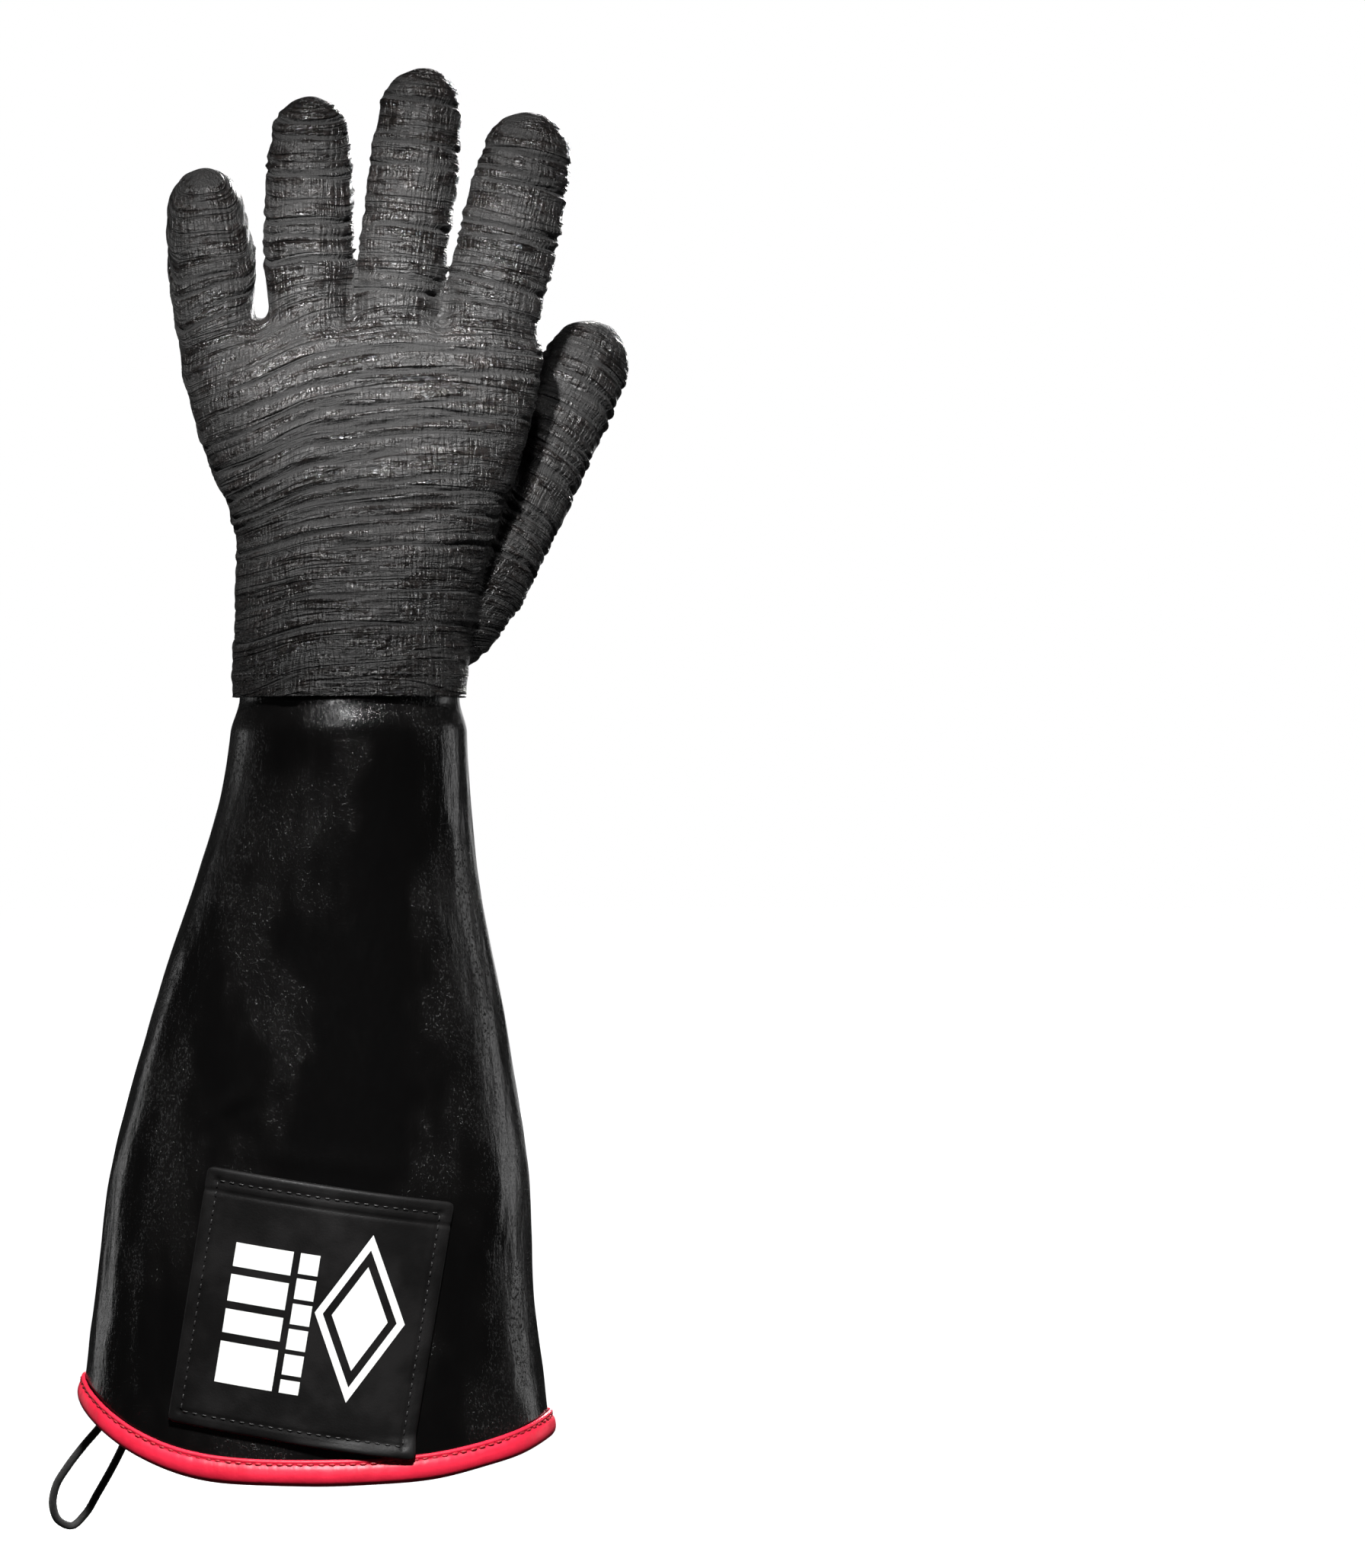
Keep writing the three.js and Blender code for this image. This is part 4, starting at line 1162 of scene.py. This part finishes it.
def make_backdrop():
    """A wide pale floor, and a bright screen well behind the glove that lights its edges."""
    floor = -0.046
    turn = np.arange(64) * TURN / 64
    disc = np.stack([np.cos(turn) * 9, np.sin(turn) * 9, np.full(64, floor)], -1)
    points = np.concatenate([disc, [(0, 0, floor)]])
    screen = np.array([(x, 2.4, z) for z in (floor, 1.0) for x in (-0.55, 0.85)])
    for name, corners, faces, glow in (
        ("floor", points, fan(64, np.arange(64)), 0.98),
        ("screen", screen, np.array([[0, 1, 3, 2]]), 0.9),
    ):
        s = Shader(name)
        fine = s.a("TexNoise", {"Scale": 3.0, "Detail": 2.0}, out="Fac")
        colour = s.mixed(fine, (0.84, 0.84, 0.84, 1), (0.88, 0.88, 0.88, 1))
        piece = new_piece(name, corners / MM, faces, s.surface(colour, 0.9, specular=0.1, glow=glow))
        # The floor is seen without throwing its light up at the glove, and the screen is not seen.
        piece.visible_diffuse = piece.visible_glossy = name == "screen"
        piece.visible_camera = name == "floor"


def softbox(name, place, aim, width, height, power, spread=180):
    light = bpy.data.lights.new(name, "AREA")
    light.spread = math.radians(spread)
    light.shape = "RECTANGLE"
    light.size, light.size_y, light.energy = width, height, power
    lamp = bpy.data.objects.new(name, light)
    lamp.location = place
    direction = lamp.location - Vector(aim)
    lamp.rotation_euler = direction.to_track_quat("Z", "Y").to_euler()
    scene.collection.objects.link(lamp)


make_backdrop()
softbox("left_box", (-1.15, 0.62, 0.12), (0, 0, 0.12), 0.22, 0.6, 1.0)
softbox("right_box", (1.15, 0.55, 0.16), (0, 0, 0.14), 0.24, 0.7, 1.6)
softbox("key_box", (-0.20, -1.15, 0.90), (0.03, 0, 0.362), 0.10, 0.10, 0.40, spread=8)
softbox("low_box", (0.10, -1.15, 1.60), (0.0, 0, 0.03), 0.3, 0.3, 0.80, spread=12)
softbox("rear_box", (0.35, 1.25, 0.75), (0, 0, 0.25), 0.4, 0.4, 1.6, spread=40)


def make_world():
    """A white surround to look at, which itself gives the glove only a little light."""
    world = bpy.data.worlds.new("studio")
    world.use_nodes = True
    tree = world.node_tree
    seen = tree.nodes.new("ShaderNodeLightPath").outputs["Is Camera Ray"]
    strength = tree.nodes.new("ShaderNodeMapRange")
    tree.links.new(seen, strength.inputs["Value"])
    strength.inputs["To Min"].default_value = 0.025
    strength.inputs["To Max"].default_value = 1.0
    background = tree.nodes["Background"]
    background.inputs["Color"].default_value = (1, 1, 1, 1)
    tree.links.new(strength.outputs[0], background.inputs["Strength"])
    return world


scene.world = make_world()
scene.view_settings.view_transform = "Standard"
